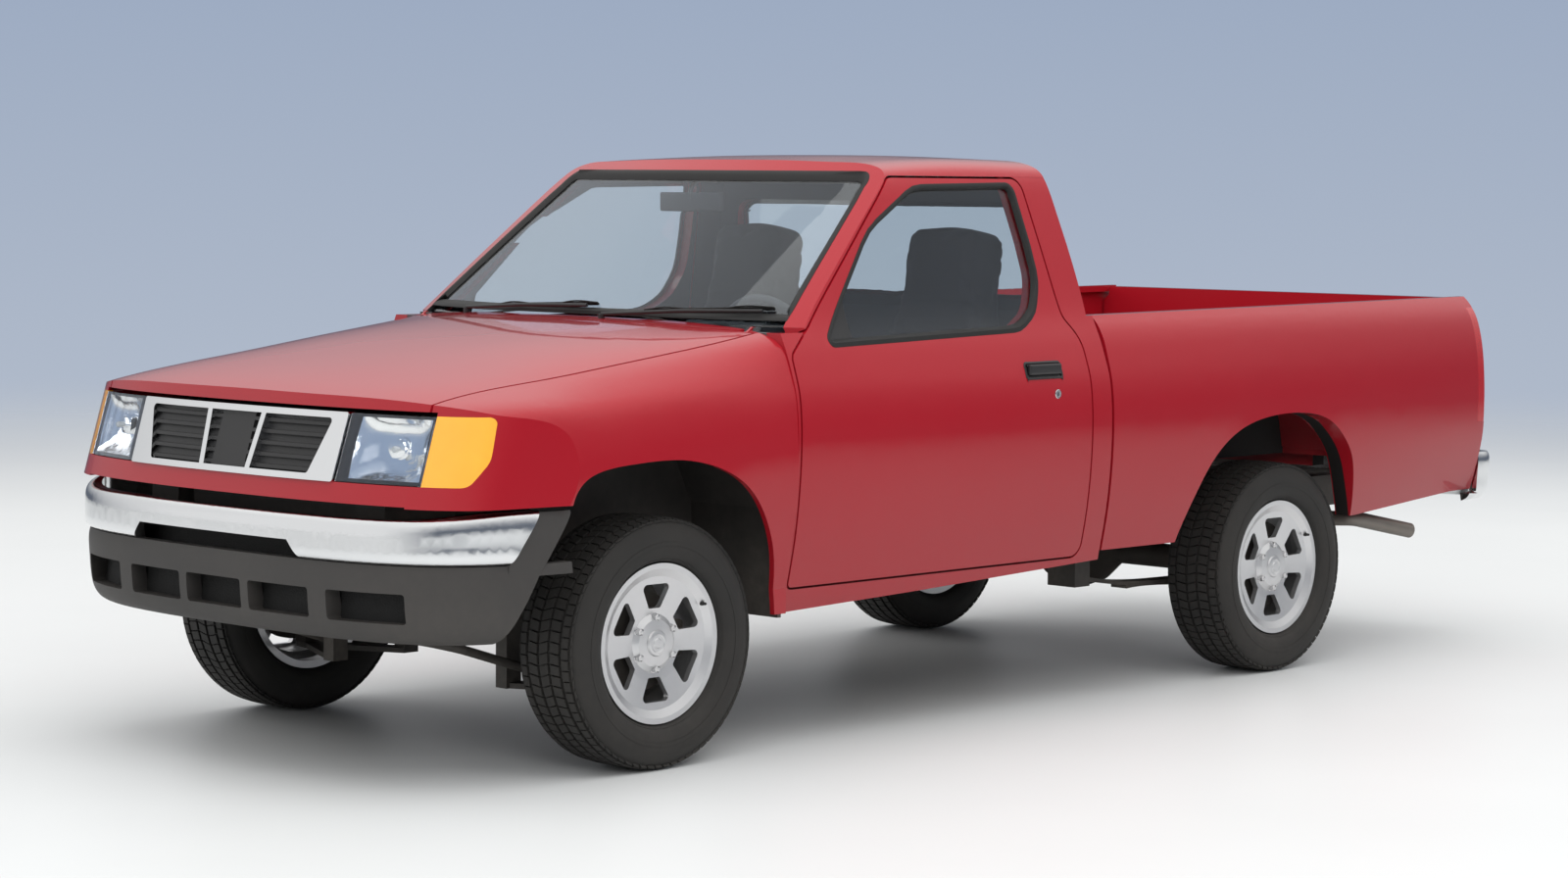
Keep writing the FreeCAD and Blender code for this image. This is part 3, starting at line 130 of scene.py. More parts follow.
def select_ends(obj):
    # the two open ends of a chain
    mesh = bmesh.from_edit_mesh(obj.data)
    for vert in mesh.verts:
        vert.select_set(len(vert.link_edges) == 1)
    bmesh.update_edit_mesh(obj.data)


def cut_across(obj, place, way):
    edit(obj, every=True)
    bpy.ops.mesh.bisect(plane_co=place, plane_no=way)
    done()


def copy_of(obj, name):
    new = obj.copy()
    new.data = obj.data.copy()
    new.name = name
    new.data.name = name
    bpy.context.scene.collection.objects.link(new)
    return new


def moved(obj, matrix):
    obj.data.transform(matrix)
    if matrix.determinant() < 0:
        obj.data.flip_normals()
    return obj


FLIP = Matrix.Diagonal((-1, 1, 1, 1))


def joined(name, parts):
    only(*parts)
    bpy.ops.object.join()
    obj = bpy.context.object
    obj.name = name
    obj.data.name = name
    return obj


def both_sides(name, obj):
    # the piece and its mirror image, as one object
    return joined(name, [obj, moved(copy_of(obj, name + "_r"), FLIP)])


# Starting shapes

def block(name, low, high):
    a = spot(*low)
    b = spot(*high)
    bpy.ops.mesh.primitive_cube_add(size=1, location=(a + b) / 2)
    obj = bpy.context.object
    obj.scale = b - a
    obj.name = name
    return settle(obj)


def round_bar(name, start, end, radius, sides=32):
    a = spot(*start)
    b = spot(*end)
    bpy.ops.mesh.primitive_cylinder_add(vertices=sides, radius=radius / 1000, depth=(b - a).length,
                                        location=(a + b) / 2)
    obj = bpy.context.object
    obj.rotation_mode = "QUATERNION"
    obj.rotation_quaternion = (b - a).to_track_quat("Z", "Y")
    obj.name = name
    return settle(obj)


def chain(name, points):
    # a string of edges through points in metres, drawn by extruding one vertex
    bpy.ops.mesh.primitive_plane_add(size=0.01, location=points[0])
    obj = bpy.context.object
    obj.name = name
    settle(obj)
    edit(obj, "VERT", every=True)
    bpy.ops.mesh.merge(type="CENTER")
    for a, b in zip(points[:-1], points[1:]):
        step = Vector(b) - Vector(a)
        bpy.ops.mesh.extrude_region_move(TRANSFORM_OT_translate={"value": step})
    done()
    return obj


def plate(name, points, push):
    # flat outline in metres, filled and pushed out by a vector in metres
    obj = chain(name, points)
    edit(obj, "VERT", every=True)
    bpy.ops.mesh.edge_face_add()
    bpy.ops.mesh.extrude_region_move(TRANSFORM_OT_translate={"value": push})
    done()
    return tidy(obj)


def side_plate(name, x, corners, radii, width, step=20):
    # a rounded outline as the left side shows it, filled at x and pushed out along x
    points = [spot(x, y, z) for y, z in rounded_loop(corners, radii, step)]
    return plate(name, points, Vector((width / 1000, 0, 0)))


def turned(name, profile, centre, axis, steps=64):
    # profile points (along, out) in millimetres, spun about an axis through centre
    along = Vector(axis).normalized()
    out = along.orthogonal().normalized()
    origin = spot(*centre)
    points = [origin + along * (a / 1000) + out * (r / 1000) for a, r in profile]
    obj = chain(name, points)
    edit(obj, "VERT", every=True)
    bpy.ops.mesh.spin(steps=steps, angle=math.tau, center=origin, axis=along, use_auto_merge=True)
    done()
    return tidy(obj)


def tube(name, points, radius, sides=6, smooth=True):
    # round section along points given in millimetres
    obj = chain(name, [spot(*p) for p in points])
    only(obj)
    bpy.ops.object.convert(target="CURVE")
    curve = bpy.context.object.data
    if smooth:
        only(obj)
        bpy.ops.object.mode_set(mode="EDIT")
        bpy.ops.curve.select_all(action="SELECT")
        bpy.ops.curve.spline_type_set(type="BEZIER")
        bpy.ops.curve.handle_type_set(type="AUTOMATIC")
        bpy.ops.object.mode_set(mode="OBJECT")
        curve.resolution_u = 8
    curve.dimensions = "3D"
    curve.bevel_depth = radius / 1000
    curve.bevel_resolution = sides // 2
    curve.use_fill_caps = True
    bpy.ops.object.convert(target="MESH")
    obj = bpy.context.object
    obj.name = name
    return soften(tidy(obj), 50)


def surface_point(node, start, direction):
    # where a ray from start (millimetres) meets a CAD node
    hit, place = NODES[node].ray_cast(spot(*start), Vector(direction))[:2]
    return place if hit else None


# Node groups shared by the finishes

SOCKETS = {float: "NodeSocketFloat", tuple: "NodeSocketColor", Vector: "NodeSocketVector"}
GREY = (0.5, 0.5, 0.5, 1)


def new_group(name, inputs, outputs):
    # inputs are (label, first value), outputs are (label, a value of the kind)
    tree = bpy.data.node_groups.new(name, "ShaderNodeTree")
    for label, value in inputs:
        kind = SOCKETS[type(value)]
        tree.interface.new_socket(name=label, in_out="INPUT", socket_type=kind).default_value = value
    for label, value in outputs:
        tree.interface.new_socket(name=label, in_out="OUTPUT", socket_type=SOCKETS[type(value)])
    return tree, tree.nodes.new("NodeGroupInput"), tree.nodes.new("NodeGroupOutput")


def feed(tree, socket, value):
    # links an output to the socket or sets its value; a colour may leave out its alpha
    if hasattr(value, "is_linked"):
        tree.links.new(value, socket)
    else:
        socket.default_value = (*value, 1) if socket.type == "RGBA" and len(value) == 3 else value


def fill(tree, node, **values):
    # feeds inputs by name, with _ for a space
    for key, value in values.items():
        feed(tree, node.inputs[key.replace("_", " ")], value)
    return node


def shader_node(tree, kind, **values):
    return fill(tree, tree.nodes.new("ShaderNode" + kind), **values)


def place_group(tree, shared, **values):
    node = tree.nodes.new("ShaderNodeGroup")
    node.node_tree = shared
    return fill(tree, node, **values)


def object_place(tree):
    return shader_node(tree, "TexCoord").outputs["Object"]


def parts_of(tree, vector):
    return shader_node(tree, "SeparateXYZ", Vector=vector).outputs


def noise(tree, vector, scale, detail=4, roughness=0.55):
    return shader_node(tree, "TexNoise", Vector=vector, Scale=scale, Detail=detail,
                       Roughness=roughness).outputs["Fac"]


def span(tree, value, low, high, out_low=0.0, out_high=1.0):
    # low to high becomes out_low to out_high
    return shader_node(tree, "MapRange", Value=value, From_Min=low, From_Max=high, To_Min=out_low,
                       To_Max=out_high).outputs["Result"]


def maths(tree, operation, a, b, kind="Math"):
    node = shader_node(tree, kind)
    node.operation = operation
    feed(tree, node.inputs[0], a)
    feed(tree, node.inputs[1], b)
    return node.outputs["Value"]


def product(tree, first, *others):
    for other in others:
        first = maths(tree, "MULTIPLY", first, other)
    return first


def blend_colour(tree, mask, a, b):
    node = shader_node(tree, "Mix")
    node.data_type = "RGBA"
    for number, value in ((0, mask), (6, a), (7, b)):
        feed(tree, node.inputs[number], value)
    return node.outputs[2]


DUST = (0.23, 0.20, 0.17)


def road_film_group():
    # dust that gathers low down and in hollows of the noise
    tree, inside, outside = new_group("road_film", [("Colour", GREY), ("Amount", 0.3), ("Height", 0.8)],
                                      [("Colour", GREY), ("Mask", 0.0)])
    place = object_place(tree)
    level = span(tree, parts_of(tree, place)["Z"], 0.0, inside.outputs["Height"], 1.0, 0.12)
    cloud = span(tree, noise(tree, place, 2.6, 6, 0.6), 0.35, 0.75, 0.25, 1.0)
    fine = span(tree, noise(tree, place, 45, 3), 0.3, 0.7, 0.75, 1.1)
    mask = product(tree, level, cloud, fine, inside.outputs["Amount"])
    fill(tree, outside, Colour=blend_colour(tree, mask, inside.outputs["Colour"], DUST), Mask=mask)
    return tree


def uneven_group():
    # slow change of tone over a surface, and a roughness that goes with it
    tree, inside, outside = new_group("uneven_tone", [("Colour", GREY), ("Change", 0.1), ("Scale", 4.0),
                                                      ("Rough", 0.4), ("Rough Change", 0.1)],
                                      [("Colour", GREY), ("Roughness", 0.0)])
    cloud = noise(tree, object_place(tree), inside.outputs["Scale"], 5, 0.5)
    swing = maths(tree, "SUBTRACT", cloud, 0.5)
    tone = maths(tree, "ADD", product(tree, swing, inside.outputs["Change"]), 1.0)
    shade = shader_node(tree, "VectorMath")
    shade.operation = "SCALE"
    feed(tree, shade.inputs[0], inside.outputs["Colour"])
    feed(tree, shade.inputs["Scale"], tone)
    rough = maths(tree, "ADD", product(tree, swing, inside.outputs["Rough Change"]), inside.outputs["Rough"])
    fill(tree, outside, Colour=shade.outputs[0], Roughness=rough)
    return tree


def grain_group():
    # moulded grain as a height, cells with soft hollows between them
    tree, inside, outside = new_group("moulded_grain", [("Scale", 900.0)], [("Height", 0.0)])
    cells = shader_node(tree, "TexVoronoi", Vector=object_place(tree), Scale=inside.outputs["Scale"])
    cells.feature = "SMOOTH_F1"
    fill(tree, outside, Height=cells.outputs["Distance"])
    return tree


def scuff_group():
    # brighter metal on edges and in fine scratches
    tree, inside, outside = new_group("scuffs", [("Colour", GREY), ("Worn Colour", (0.8, 0.8, 0.8, 1)),
                                                 ("Amount", 0.5)], [("Colour", GREY), ("Mask", 0.0)])
    round_off = shader_node(tree, "Bevel", Radius=0.004)
    round_off.samples = 4
    flat = shader_node(tree, "NewGeometry").outputs["Normal"]
    turn = maths(tree, "DOT_PRODUCT", round_off.outputs[0], flat, "VectorMath")
    patchy = span(tree, noise(tree, object_place(tree), 60, 5, 0.7), 0.45, 0.62)
    mask = product(tree, span(tree, turn, 0.99, 0.80), patchy, inside.outputs["Amount"])
    colour = blend_colour(tree, mask, inside.outputs["Colour"], inside.outputs["Worn Colour"])
    fill(tree, outside, Colour=colour, Mask=mask)
    return tree


def cover_group():
    # a second coat between limits on each axis, on the faces that look one way; X counts away from the middle
    tree, inside, outside = new_group("second_coat", [("Colour", GREY), ("Cover", (0.012, 0.011, 0.011, 1)),
                                                      ("Low", Vector((0, 0, 0))), ("High", Vector((1, 1, 1))),
                                                      ("Facing", Vector((0, 0, 0))), ("Every Way", 0.0)],
                                      [("Colour", GREY), ("Mask", 0.0)])
    at = parts_of(tree, object_place(tree))
    low, high, way = [parts_of(tree, inside.outputs[label]) for label in ("Low", "High", "Facing")]
    normal = parts_of(tree, shader_node(tree, "NewGeometry").outputs["Normal"])
    within = []
    for number, axis in enumerate((maths(tree, "ABSOLUTE", at["X"], 0.0), at["Y"], at["Z"])):
        within.append(maths(tree, "GREATER_THAN", axis, low[number]))
        within.append(maths(tree, "LESS_THAN", axis, high[number]))
    outwards = product(tree, normal["X"], maths(tree, "SIGN", at["X"], 0.0))
    looks = inside.outputs["Every Way"]
    for number, axis in enumerate((outwards, normal["Y"], normal["Z"])):
        looks = maths(tree, "ADD", looks, product(tree, axis, way[number]))
    mask = product(tree, *within, maths(tree, "GREATER_THAN", looks, 0.3))
    colour = blend_colour(tree, mask, inside.outputs["Colour"], inside.outputs["Cover"])
    fill(tree, outside, Colour=colour, Mask=mask)
    return tree


ROAD_FILM = road_film_group()
UNEVEN = uneven_group()
GRAIN = grain_group()
SCUFFS = scuff_group()
COVER = cover_group()


def relief(tree, grain, flutes, wave):
    # height of moulded cells, of a lens's flutes or of a slow wave
    if grain:
        return place_group(tree, GRAIN, Scale=grain).outputs["Height"]
    place = object_place(tree)
    if not flutes:
        return noise(tree, place, wave, 2)
    rows = shader_node(tree, "TexWave", Vector=place, Scale=flutes / 20, Distortion=0.0)
    rows.bands_direction = "X"
    return rows.outputs["Fac"]


# how much rougher dust and a second coat are
DULL = 0.4


def finish_of(name, colour, rough=0.4, change=0.1, scale=4.0, rough_change=0.1, film=0.0, film_height=0.9,
              grain=None, grain_depth=0.0002, worn=None, worn_amount=0.5, wave=None, flutes=None, coated=None,
              **shader):
    """A material: a tone that varies, then worn edges, road film, a second coat and a relief.

    What is left over in the call is set as constants on the shader.
    """
    mat = bpy.data.materials.new(name)
    mat.use_nodes = True
    tree = mat.node_tree
    surface = fill(tree, tree.nodes["Principled BSDF"], **shader)
    base = place_group(tree, UNEVEN, Colour=colour, Change=change, Scale=scale, Rough=rough,
                       Rough_Change=rough_change)
    tone = base.outputs["Colour"]
    rough_out = base.outputs["Roughness"]
    if worn:
        scuff = place_group(tree, SCUFFS, Colour=tone, Worn_Colour=worn, Amount=worn_amount)
        tone = scuff.outputs["Colour"]
    if film:
        dust = place_group(tree, ROAD_FILM, Colour=tone, Amount=film, Height=film_height)
        tone = dust.outputs["Colour"]
        rough_out = maths(tree, "ADD", rough_out, product(tree, dust.outputs["Mask"], DULL))
    if coated:
        cover, low, high, facing, every_way = coated
        under = place_group(tree, COVER, Colour=tone, Cover=cover, Low=low, High=high, Facing=facing,
                            Every_Way=every_way)
        tone = under.outputs["Colour"]
        rough_out = maths(tree, "ADD", rough_out, product(tree, under.outputs["Mask"], DULL))
        fill(tree, surface, Coat_Weight=maths(tree, "SUBTRACT", 1.0, under.outputs["Mask"]))
    fill(tree, surface, Base_Color=tone, Roughness=rough_out)
    if grain or wave or flutes:
        bump = shader_node(tree, "Bump", Strength=0.6, Distance=grain_depth,
                           Height=relief(tree, grain, flutes, wave))
        fill(tree, surface, Normal=bump.outputs["Normal"])
    return mat


RED = (0.315, 0.0052, 0.0132)
UNDERCOAT = (0.014, 0.0125, 0.012)
TRIM_GREY = (0.055, 0.055, 0.058)
EVERYWHERE = ((-1.0, -3.0, 0.0), (1.0, 3.0, 2.0))


def enamel(name, *coated):
    return finish_of(name, RED, rough=0.34, change=0.06, scale=1.6, rough_change=0.08, film=0.10,
                     film_height=0.75, wave=260.0, grain_depth=0.00004, Coat_Weight=1.0, Coat_Roughness=0.035,
                     Coat_IOR=1.38, Specular_IOR_Level=0.12, coated=coated or None)


PAINT = enamel("red_enamel")
BED_PAINT = enamel("red_enamel_bed", UNDERCOAT, (0.738, 0.60, 0.0), (0.785, 1.56, 0.96), (0, 0, 0), 1.0)
SIDE_PAINT = enamel("red_enamel_trimmed", TRIM_GREY, *EVERYWHERE, (-1, 0, 0), 0.0)
BACK_PAINT = enamel("red_enamel_back", TRIM_GREY, *EVERYWHERE, (0, -1, 0), 0.0)
ROOF_PAINT = enamel("red_enamel_roof", (0.16, 0.16, 0.165), *EVERYWHERE, (0, 0, -1), 0.0)
CHROME = finish_of("bright_chrome", (0.76, 0.77, 0.78), rough=0.13, change=0.05, scale=5.0, rough_change=0.06,
                   film=0.08, film_height=0.7, wave=14.0, grain_depth=0.00003, Metallic=1.0)
VALANCE = finish_of("grey_valance_plastic", (0.030, 0.028, 0.027), rough=0.58, change=0.25, scale=9.0,
                    film=0.22, film_height=0.75, grain=1400.0, grain_depth=0.0003)
BLACK_TRIM = finish_of("black_trim", (0.012, 0.012, 0.013), rough=0.42, change=0.2, scale=8.0, film=0.12,
                       film_height=1.0, grain=1800.0, grain_depth=0.00015)
RUBBER = finish_of("window_rubber", (0.010, 0.010, 0.010), rough=0.62, change=0.25, scale=12.0, film=0.10,
                   film_height=1.0, wave=700.0, grain_depth=0.0001)
TYRE_RUBBER = finish_of("tyre_rubber", (0.0115, 0.011, 0.0105), rough=0.74, change=0.3, scale=14.0, film=0.12,
                        film_height=1.0, grain=900.0, grain_depth=0.0003)
ALLOY = finish_of("silver_alloy", (0.66, 0.66, 0.67), rough=0.34, change=0.08, scale=12.0, rough_change=0.12,
                  film=0.14, film_height=1.2, wave=900.0, grain_depth=0.00005, Metallic=0.9, Coat_Weight=0.6,
                  Coat_Roughness=0.08)
STEEL = finish_of("black_chassis_steel", (0.018, 0.017, 0.017), rough=0.55, change=0.35, scale=11.0, film=0.7,
                  film_height=1.1, worn=(0.10, 0.075, 0.06), worn_amount=0.5, grain=500.0, grain_depth=0.0004)
CAST = finish_of("cast_iron", (0.055, 0.050, 0.046), rough=0.68, change=0.4, scale=18.0, film=0.5,
                 film_height=1.0, worn=(0.16, 0.11, 0.08), worn_amount=0.5, grain=300.0, grain_depth=0.0008,
                 Metallic=0.6)
PIPE_STEEL = finish_of("exhaust_steel", (0.22, 0.20, 0.18), rough=0.46, change=0.5, scale=15.0,
                       rough_change=0.3, film=0.5, film_height=0.9, Metallic=0.8, wave=150.0,
                       grain_depth=0.0003)
DASH = finish_of("dash_plastic", (0.040, 0.041, 0.045), rough=0.55, change=0.15, scale=6.0, grain=1100.0,
                 grain_depth=0.0003)
CARPET = finish_of("floor_carpet", (0.035, 0.036, 0.040), rough=0.95, change=0.5, scale=60.0, wave=1500.0,
                   grain_depth=0.003, Sheen_Weight=0.25, Sheen_Roughness=0.6)
AMBER = finish_of("amber_lens", (0.93, 0.40, 0.025), rough=0.12, change=0.1, scale=20.0, flutes=130.0,
                  grain_depth=0.0007, Coat_Weight=1.0, Coat_Roughness=0.03, Subsurface_Weight=0.2,
                  Subsurface_Radius=(0.02, 0.01, 0.005), Subsurface_Scale=0.02)
RED_LENS = finish_of("red_lens", (0.42, 0.008, 0.012), rough=0.14, change=0.1, scale=20.0, Coat_Weight=1.0,
                     Coat_Roughness=0.03)
LINER_PAINT = finish_of("bed_paint", (0.36, 0.010, 0.019), rough=0.42, change=0.16, scale=5.0, film=0.25,
                        film_height=1.6, worn=(0.45, 0.10, 0.10), worn_amount=0.35, wave=160.0,
                        grain_depth=0.0001, Coat_Weight=0.5, Coat_Roughness=0.15,
                        coated=(UNDERCOAT, (-1.0, -2.0, 0.0), (0.76, 2.2, 0.878), (1, 0, -1), 0.0))


def glass_of(name, tint):
    return finish_of(name, tint, rough=0.003, change=0.02, scale=3.0, rough_change=0.002,
                     Transmission_Weight=1.0, IOR=1.45)


CLEAR = glass_of("window_glass", (0.90, 0.94, 0.93))
LENS = glass_of("lamp_glass", (0.95, 0.96, 0.97))
NUT_CHROME = finish_of("nut_chrome", (0.62, 0.62, 0.63), rough=0.18, change=0.15, scale=40.0, film=0.2,
                       film_height=1.2, wave=300.0, grain_depth=0.0001, Metallic=1.0)
REFLECTOR = finish_of("lamp_bowl", (0.93, 0.93, 0.93), rough=0.10, change=0.04, scale=30.0, wave=60.0,
                      grain_depth=0.0012, Metallic=1.0)
BULB = finish_of("bulb_glass", (0.90, 0.90, 0.86), rough=0.2, change=0.1, scale=60.0, Coat_Weight=1.0)
# near-black: the speaker and radio grilles' own colour, and painted shade on the sheet behind the valance
# holes
BLACK_MESH_AND_SHADE = finish_of("black_mesh_and_shade", (0.006, 0.006, 0.006), rough=0.8, change=0.3, scale=40.0, grain=260.0,
                       grain_depth=0.002)
FLUTED = finish_of("fluted_lens", (0.97, 0.98, 0.98), rough=0.03, change=0.01, scale=3.0, rough_change=0.01,
                   flutes=150.0, grain_depth=0.0011, Transmission_Weight=1.0, IOR=1.42)
SEAT_CLOTH = finish_of("seat_cloth", (0.018, 0.015, 0.016), rough=0.94, change=0.30, scale=22.0,
                       rough_change=0.05, grain=1500.0, grain_depth=0.00015, Sheen_Weight=0.05,
                       Sheen_Roughness=0.5)
LINING = finish_of("roof_lining", (0.20, 0.20, 0.205), rough=0.95, change=0.15, scale=20.0, grain=900.0,
                   grain_depth=0.00015)
LENS_WHITE = finish_of("reverse_lens", (0.78, 0.78, 0.78), rough=0.12, change=0.06, scale=30.0, flutes=160.0,
                       grain_depth=0.0008, Coat_Weight=1.0)

FINISH_NODES = (
    (PAINT, "hood fenders nose_panel cowl tailgate"),
    (SIDE_PAINT, "door_left door_right cab_sides"),
    (BACK_PAINT, "cab_back"),
    (ROOF_PAINT, "roof"),
    (BED_PAINT, "bed_sides"),
    (LINER_PAINT, "bed_floor"),
    (CLEAR, "cab_glass door_left_glass door_right_glass"),
    (CARPET, "cab_floor"),
    (RED_LENS, "tail_lamps"),
    (LENS, "headlamps"),
    (AMBER, "corner_lamps"),
    (CHROME, "front_bumper rear_bumper grille_frame"),
    (VALANCE, "front_valance"),
    (BLACK_TRIM, "grille wipers"),
    (STEEL, "frame leaf_springs control_arms fuel_tank propshaft inner_fenders"),
    (CAST, "rear_axle engine knuckle_left knuckle_right"),
    (PIPE_STEEL, "exhaust"),
    (DASH, "dashboard gear_console steering_wheel seat_left seat_right"),
    (TYRE_RUBBER, "tyre_front_left tyre_front_right tyre_rear_left tyre_rear_right"),
    (ALLOY, "rim_front_left rim_front_right rim_rear_left rim_rear_right"),
)
for mat, names in FINISH_NODES:
    for node in names.split():
        NODES[node].data.materials.clear()
        NODES[node].data.materials.append(mat)


# Outlines in two directions, and strips and sheets that lie on the bodywork

def offset_loop(points, by):
    # closed outline moved outwards by a distance
    n = len(points)
    area = sum(points[i - 1][0] * points[i][1] - points[i][0] * points[i - 1][1] for i in range(n))
    sign = 1 if area > 0 else -1
    out = []
    for i in range(n):
        ax, ay = points[i - 1]
        bx, by_ = points[(i + 1) % n]
        size = math.hypot(bx - ax, by_ - ay)
        x, y = points[i]
        out.append((x + sign * (by_ - ay) / size * by, y - sign * (bx - ax) / size * by))
    return out


def rounded_loop(corners, radii, step=15):
    # closed outline with its corners turned by arcs
    out = []
    n = len(corners)
    for i in range(n):
        p = Vector(corners[i])
        a = (Vector(corners[i - 1]) - p).normalized()
        b = (Vector(corners[(i + 1) % n]) - p).normalized()
        half = a.angle(b) / 2
        run = radii[i] / math.tan(half)
        middle = p + (a + b).normalized() * (radii[i] / math.sin(half))
        first = p + a * run - middle
        turn = math.pi - 2 * half
        if a.x * b.y - a.y * b.x > 0:
            turn = -turn
        count = max(2, round(abs(turn) / math.radians(step)))
        for k in range(count + 1):
            c, s = math.cos(turn * k / count), math.sin(turn * k / count)
            out.append((middle.x + first.x * c - first.y * s, middle.y + first.x * s + first.y * c))
    return out


def filled(points, step=70):
    # more points along the long straight runs of a closed outline
    out = []
    for i, point in enumerate(points):
        a, b = Vector(point), Vector(points[(i + 1) % len(points)])
        count = max(1, int((b - a).length / step))
        out += [tuple(a.lerp(b, k / count)) for k in range(count)]
    return out


def strip(name, loops, thick, side, round_off=0.8):
    """Closed outlines in metres, bridged one to the next, then given a depth away from side."""
    parts = []
    for number, pair_of in enumerate(zip(loops[:-1], loops[1:])):
        rings = []
        for points in pair_of:
            ring = chain(name + "_ring", points)
            edit(ring, "VERT")
            select_ends(ring)
            bpy.ops.mesh.edge_face_add()
            done()
            rings.append(ring)
        part = joined(f"{name}_{number}", rings)
        edit(part, "EDGE", every=True)
        bpy.ops.mesh.bridge_edge_loops()
        done()
        parts.append(part)
    obj = joined(name, parts) if len(parts) > 1 else parts[0]
    obj.name = name
    tidy(obj)
    return thickened(obj, thick, side, round_off)


def thickened(obj, thick, side, round_off=0.8):
    # a sheet turned to face one side and given a depth behind that face
    if sum(face.normal.dot(Vector(side)) * face.area for face in obj.data.polygons) < 0:
        obj.data.flip_normals()
    modifier(obj, "SOLIDIFY", thickness=thick / 1000, offset=-1.0, use_even_offset=True, thickness_clamp=1.0)
    return bevel(obj, round_off, 2, 45) if round_off else soften(obj, 45)


def draped(name, corners, across, down, put):
    # grid between four corners (u, v), each point set where put(u, v, s, t) says; s and t run from -1 to 1
    bpy.ops.mesh.primitive_grid_add(x_subdivisions=across, y_subdivisions=down, size=2)
    obj = bpy.context.object
    obj.name = name
    obj.data.name = name
    low_left, low_right, high_right, high_left = [Vector(c) for c in corners]
    for vert in obj.data.vertices:
        s, t = vert.co.x, vert.co.y
        low = low_left.lerp(low_right, (s + 1) / 2)
        high = high_left.lerp(high_right, (s + 1) / 2)
        u, v = low.lerp(high, (t + 1) / 2)
        vert.co = put(u, v, s, t)
    return obj


# where rays start and which way they go: from outside, and from within the cab
VIEWS = {"left": ((1300, None, None), (-1, 0, 0)), "front": ((None, -1300, None), (0, 1, 0)),
         "back": ((None, 4500, None), (0, -1, 0)), "inside": ((300, None, None), (1, 0, 0)),
         "up": ((None, None, 1250), (0, 0, 1)), "aft": ((None, 1300, None), (0, 1, 0))}


def seen(nodes, view, u, v, lift=0.0):
    # the first of the nodes met at (u, v) from a side, lifted towards that side by millimetres
    start, way = VIEWS[view]
    free = iter((u, v))
    start = [next(free) if value is None else value for value in start]
    best = None
    for node in nodes.split():
        place = surface_point(node, start, way)
        if place and (best is None or (place - best).dot(Vector(way)) < 0):
            best = place
    return best - Vector(way) * (lift / 1000) if best else None


def whole(points):
    # fills gaps where no surface was met from the neighbours
    known = [i for i, p in enumerate(points) if p]
    out = []
    for i, point in enumerate(points):
        near = min(known, key=lambda k: min(abs(k - i), len(points) - abs(k - i)))
        out.append(point if point else points[near])
    return out


def finish(obj, mat, body="chassis", *hidden):
    # gives a piece its finish, sets it on its body and hides the CAD nodes it stands for
    obj.data.materials.clear()
    obj.data.materials.append(mat)
    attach(obj, body)
    if hidden:
        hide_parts(*hidden)
    return obj


def bolt_head(name, centre, axis, across=8.0, height=5.0, sides=6):
    # hexagon head on a washer
    way = Vector(axis).normalized()
    base = Vector(centre)
    washer = round_bar(name + "_washer", base, base + way * 1.6, across * 1.35, 20)
    head = round_bar(name + "_head", base + way * 1.4, base + way * (height + 1.4), across, sides)
    bevel(head, 0.8, 1, 40)
    return joined(name, [washer, head])


# Tyres with moulded tread, modelled once and set on the four wheels

AXLE_WAY = (1, 0, 0)
NUT_CIRCLE = 66
VALVE_CIRCLE = 179
VALVE_TURN = 0.52
TREAD_STEPS = 72
TREAD_TURN = math.tau / TREAD_STEPS
# (from the middle, from the axle), bead to tread
HALF_TYRE = [(70.5, 192.5), (73, 205), (83, 209), (96, 217), (103, 231), (106.5, 247), (107, 262),
             (104.5, 279), (99, 295), (91.5, 306), (86, 311), (62, 313.3), (56, 313.6), (22, 314), (16, 314)]


def wheel_pick(obj, low_r, high_r, low_a, high_a):
    # faces between two radii and two distances from the tyre's middle
    hub = spot(0, 0, 0)
    pick(obj, lambda middle, normal: low_r <= math.hypot(middle.y - hub.y, middle.z) * 1000 <= high_r
         and low_a <= abs(middle.x) * 1000 <= high_a)


def lean_tread(obj):
    # turns each point of the tread about the axle by how far across it lies, which slants the blocks
    hub = spot(0, 0, 0)
    for vert in obj.data.vertices:
        across = vert.co.x * 1000
        if math.hypot(vert.co.y - hub.y, vert.co.z) * 1000 < 309:
            continue
        share = 0.5 if abs(across) > 60 else 0.12 if abs(across) > 40 else 0.0 if across > 0 else 0.35
        angle = share * TREAD_TURN
        vert.co = hub + Matrix.Rotation(angle, 3, "X") @ (vert.co - hub)


def moulded_tyre(name):
    profile = HALF_TYRE + [(-a, r) for a, r in reversed(HALF_TYRE)] + HALF_TYRE[:1]
    obj = turned(name, profile, (0, 0, 0), AXLE_WAY, TREAD_STEPS)
    lean_tread(obj)
    edit(obj)
    for zone, edge, height in (((306, 330, 60.5, 90), 0.0017, 0.0072), ((310, 316, 23, 55), 0.0018, 0.0074),
                               ((310, 316, 0, 15), 0.0016, 0.0074)):
        wheel_pick(obj, *zone)
        bpy.ops.mesh.inset(thickness=edge, use_individual=True)
        bpy.ops.mesh.extrude_faces_move(TRANSFORM_OT_shrink_fatten={"value": height})
        bpy.ops.mesh.select_all(action="DESELECT")
    # raised rings on the sidewall
    for low, high in ((248, 262), (209, 217)):
        wheel_pick(obj, low, high, 80, 112)
        bpy.ops.mesh.inset(thickness=0.0026, use_individual=False)
        bpy.ops.mesh.extrude_region_shrink_fatten(TRANSFORM_OT_shrink_fatten={"value": 0.0010})
        bpy.ops.mesh.select_all(action="DESELECT")
    done()
    return soften(obj, 32)


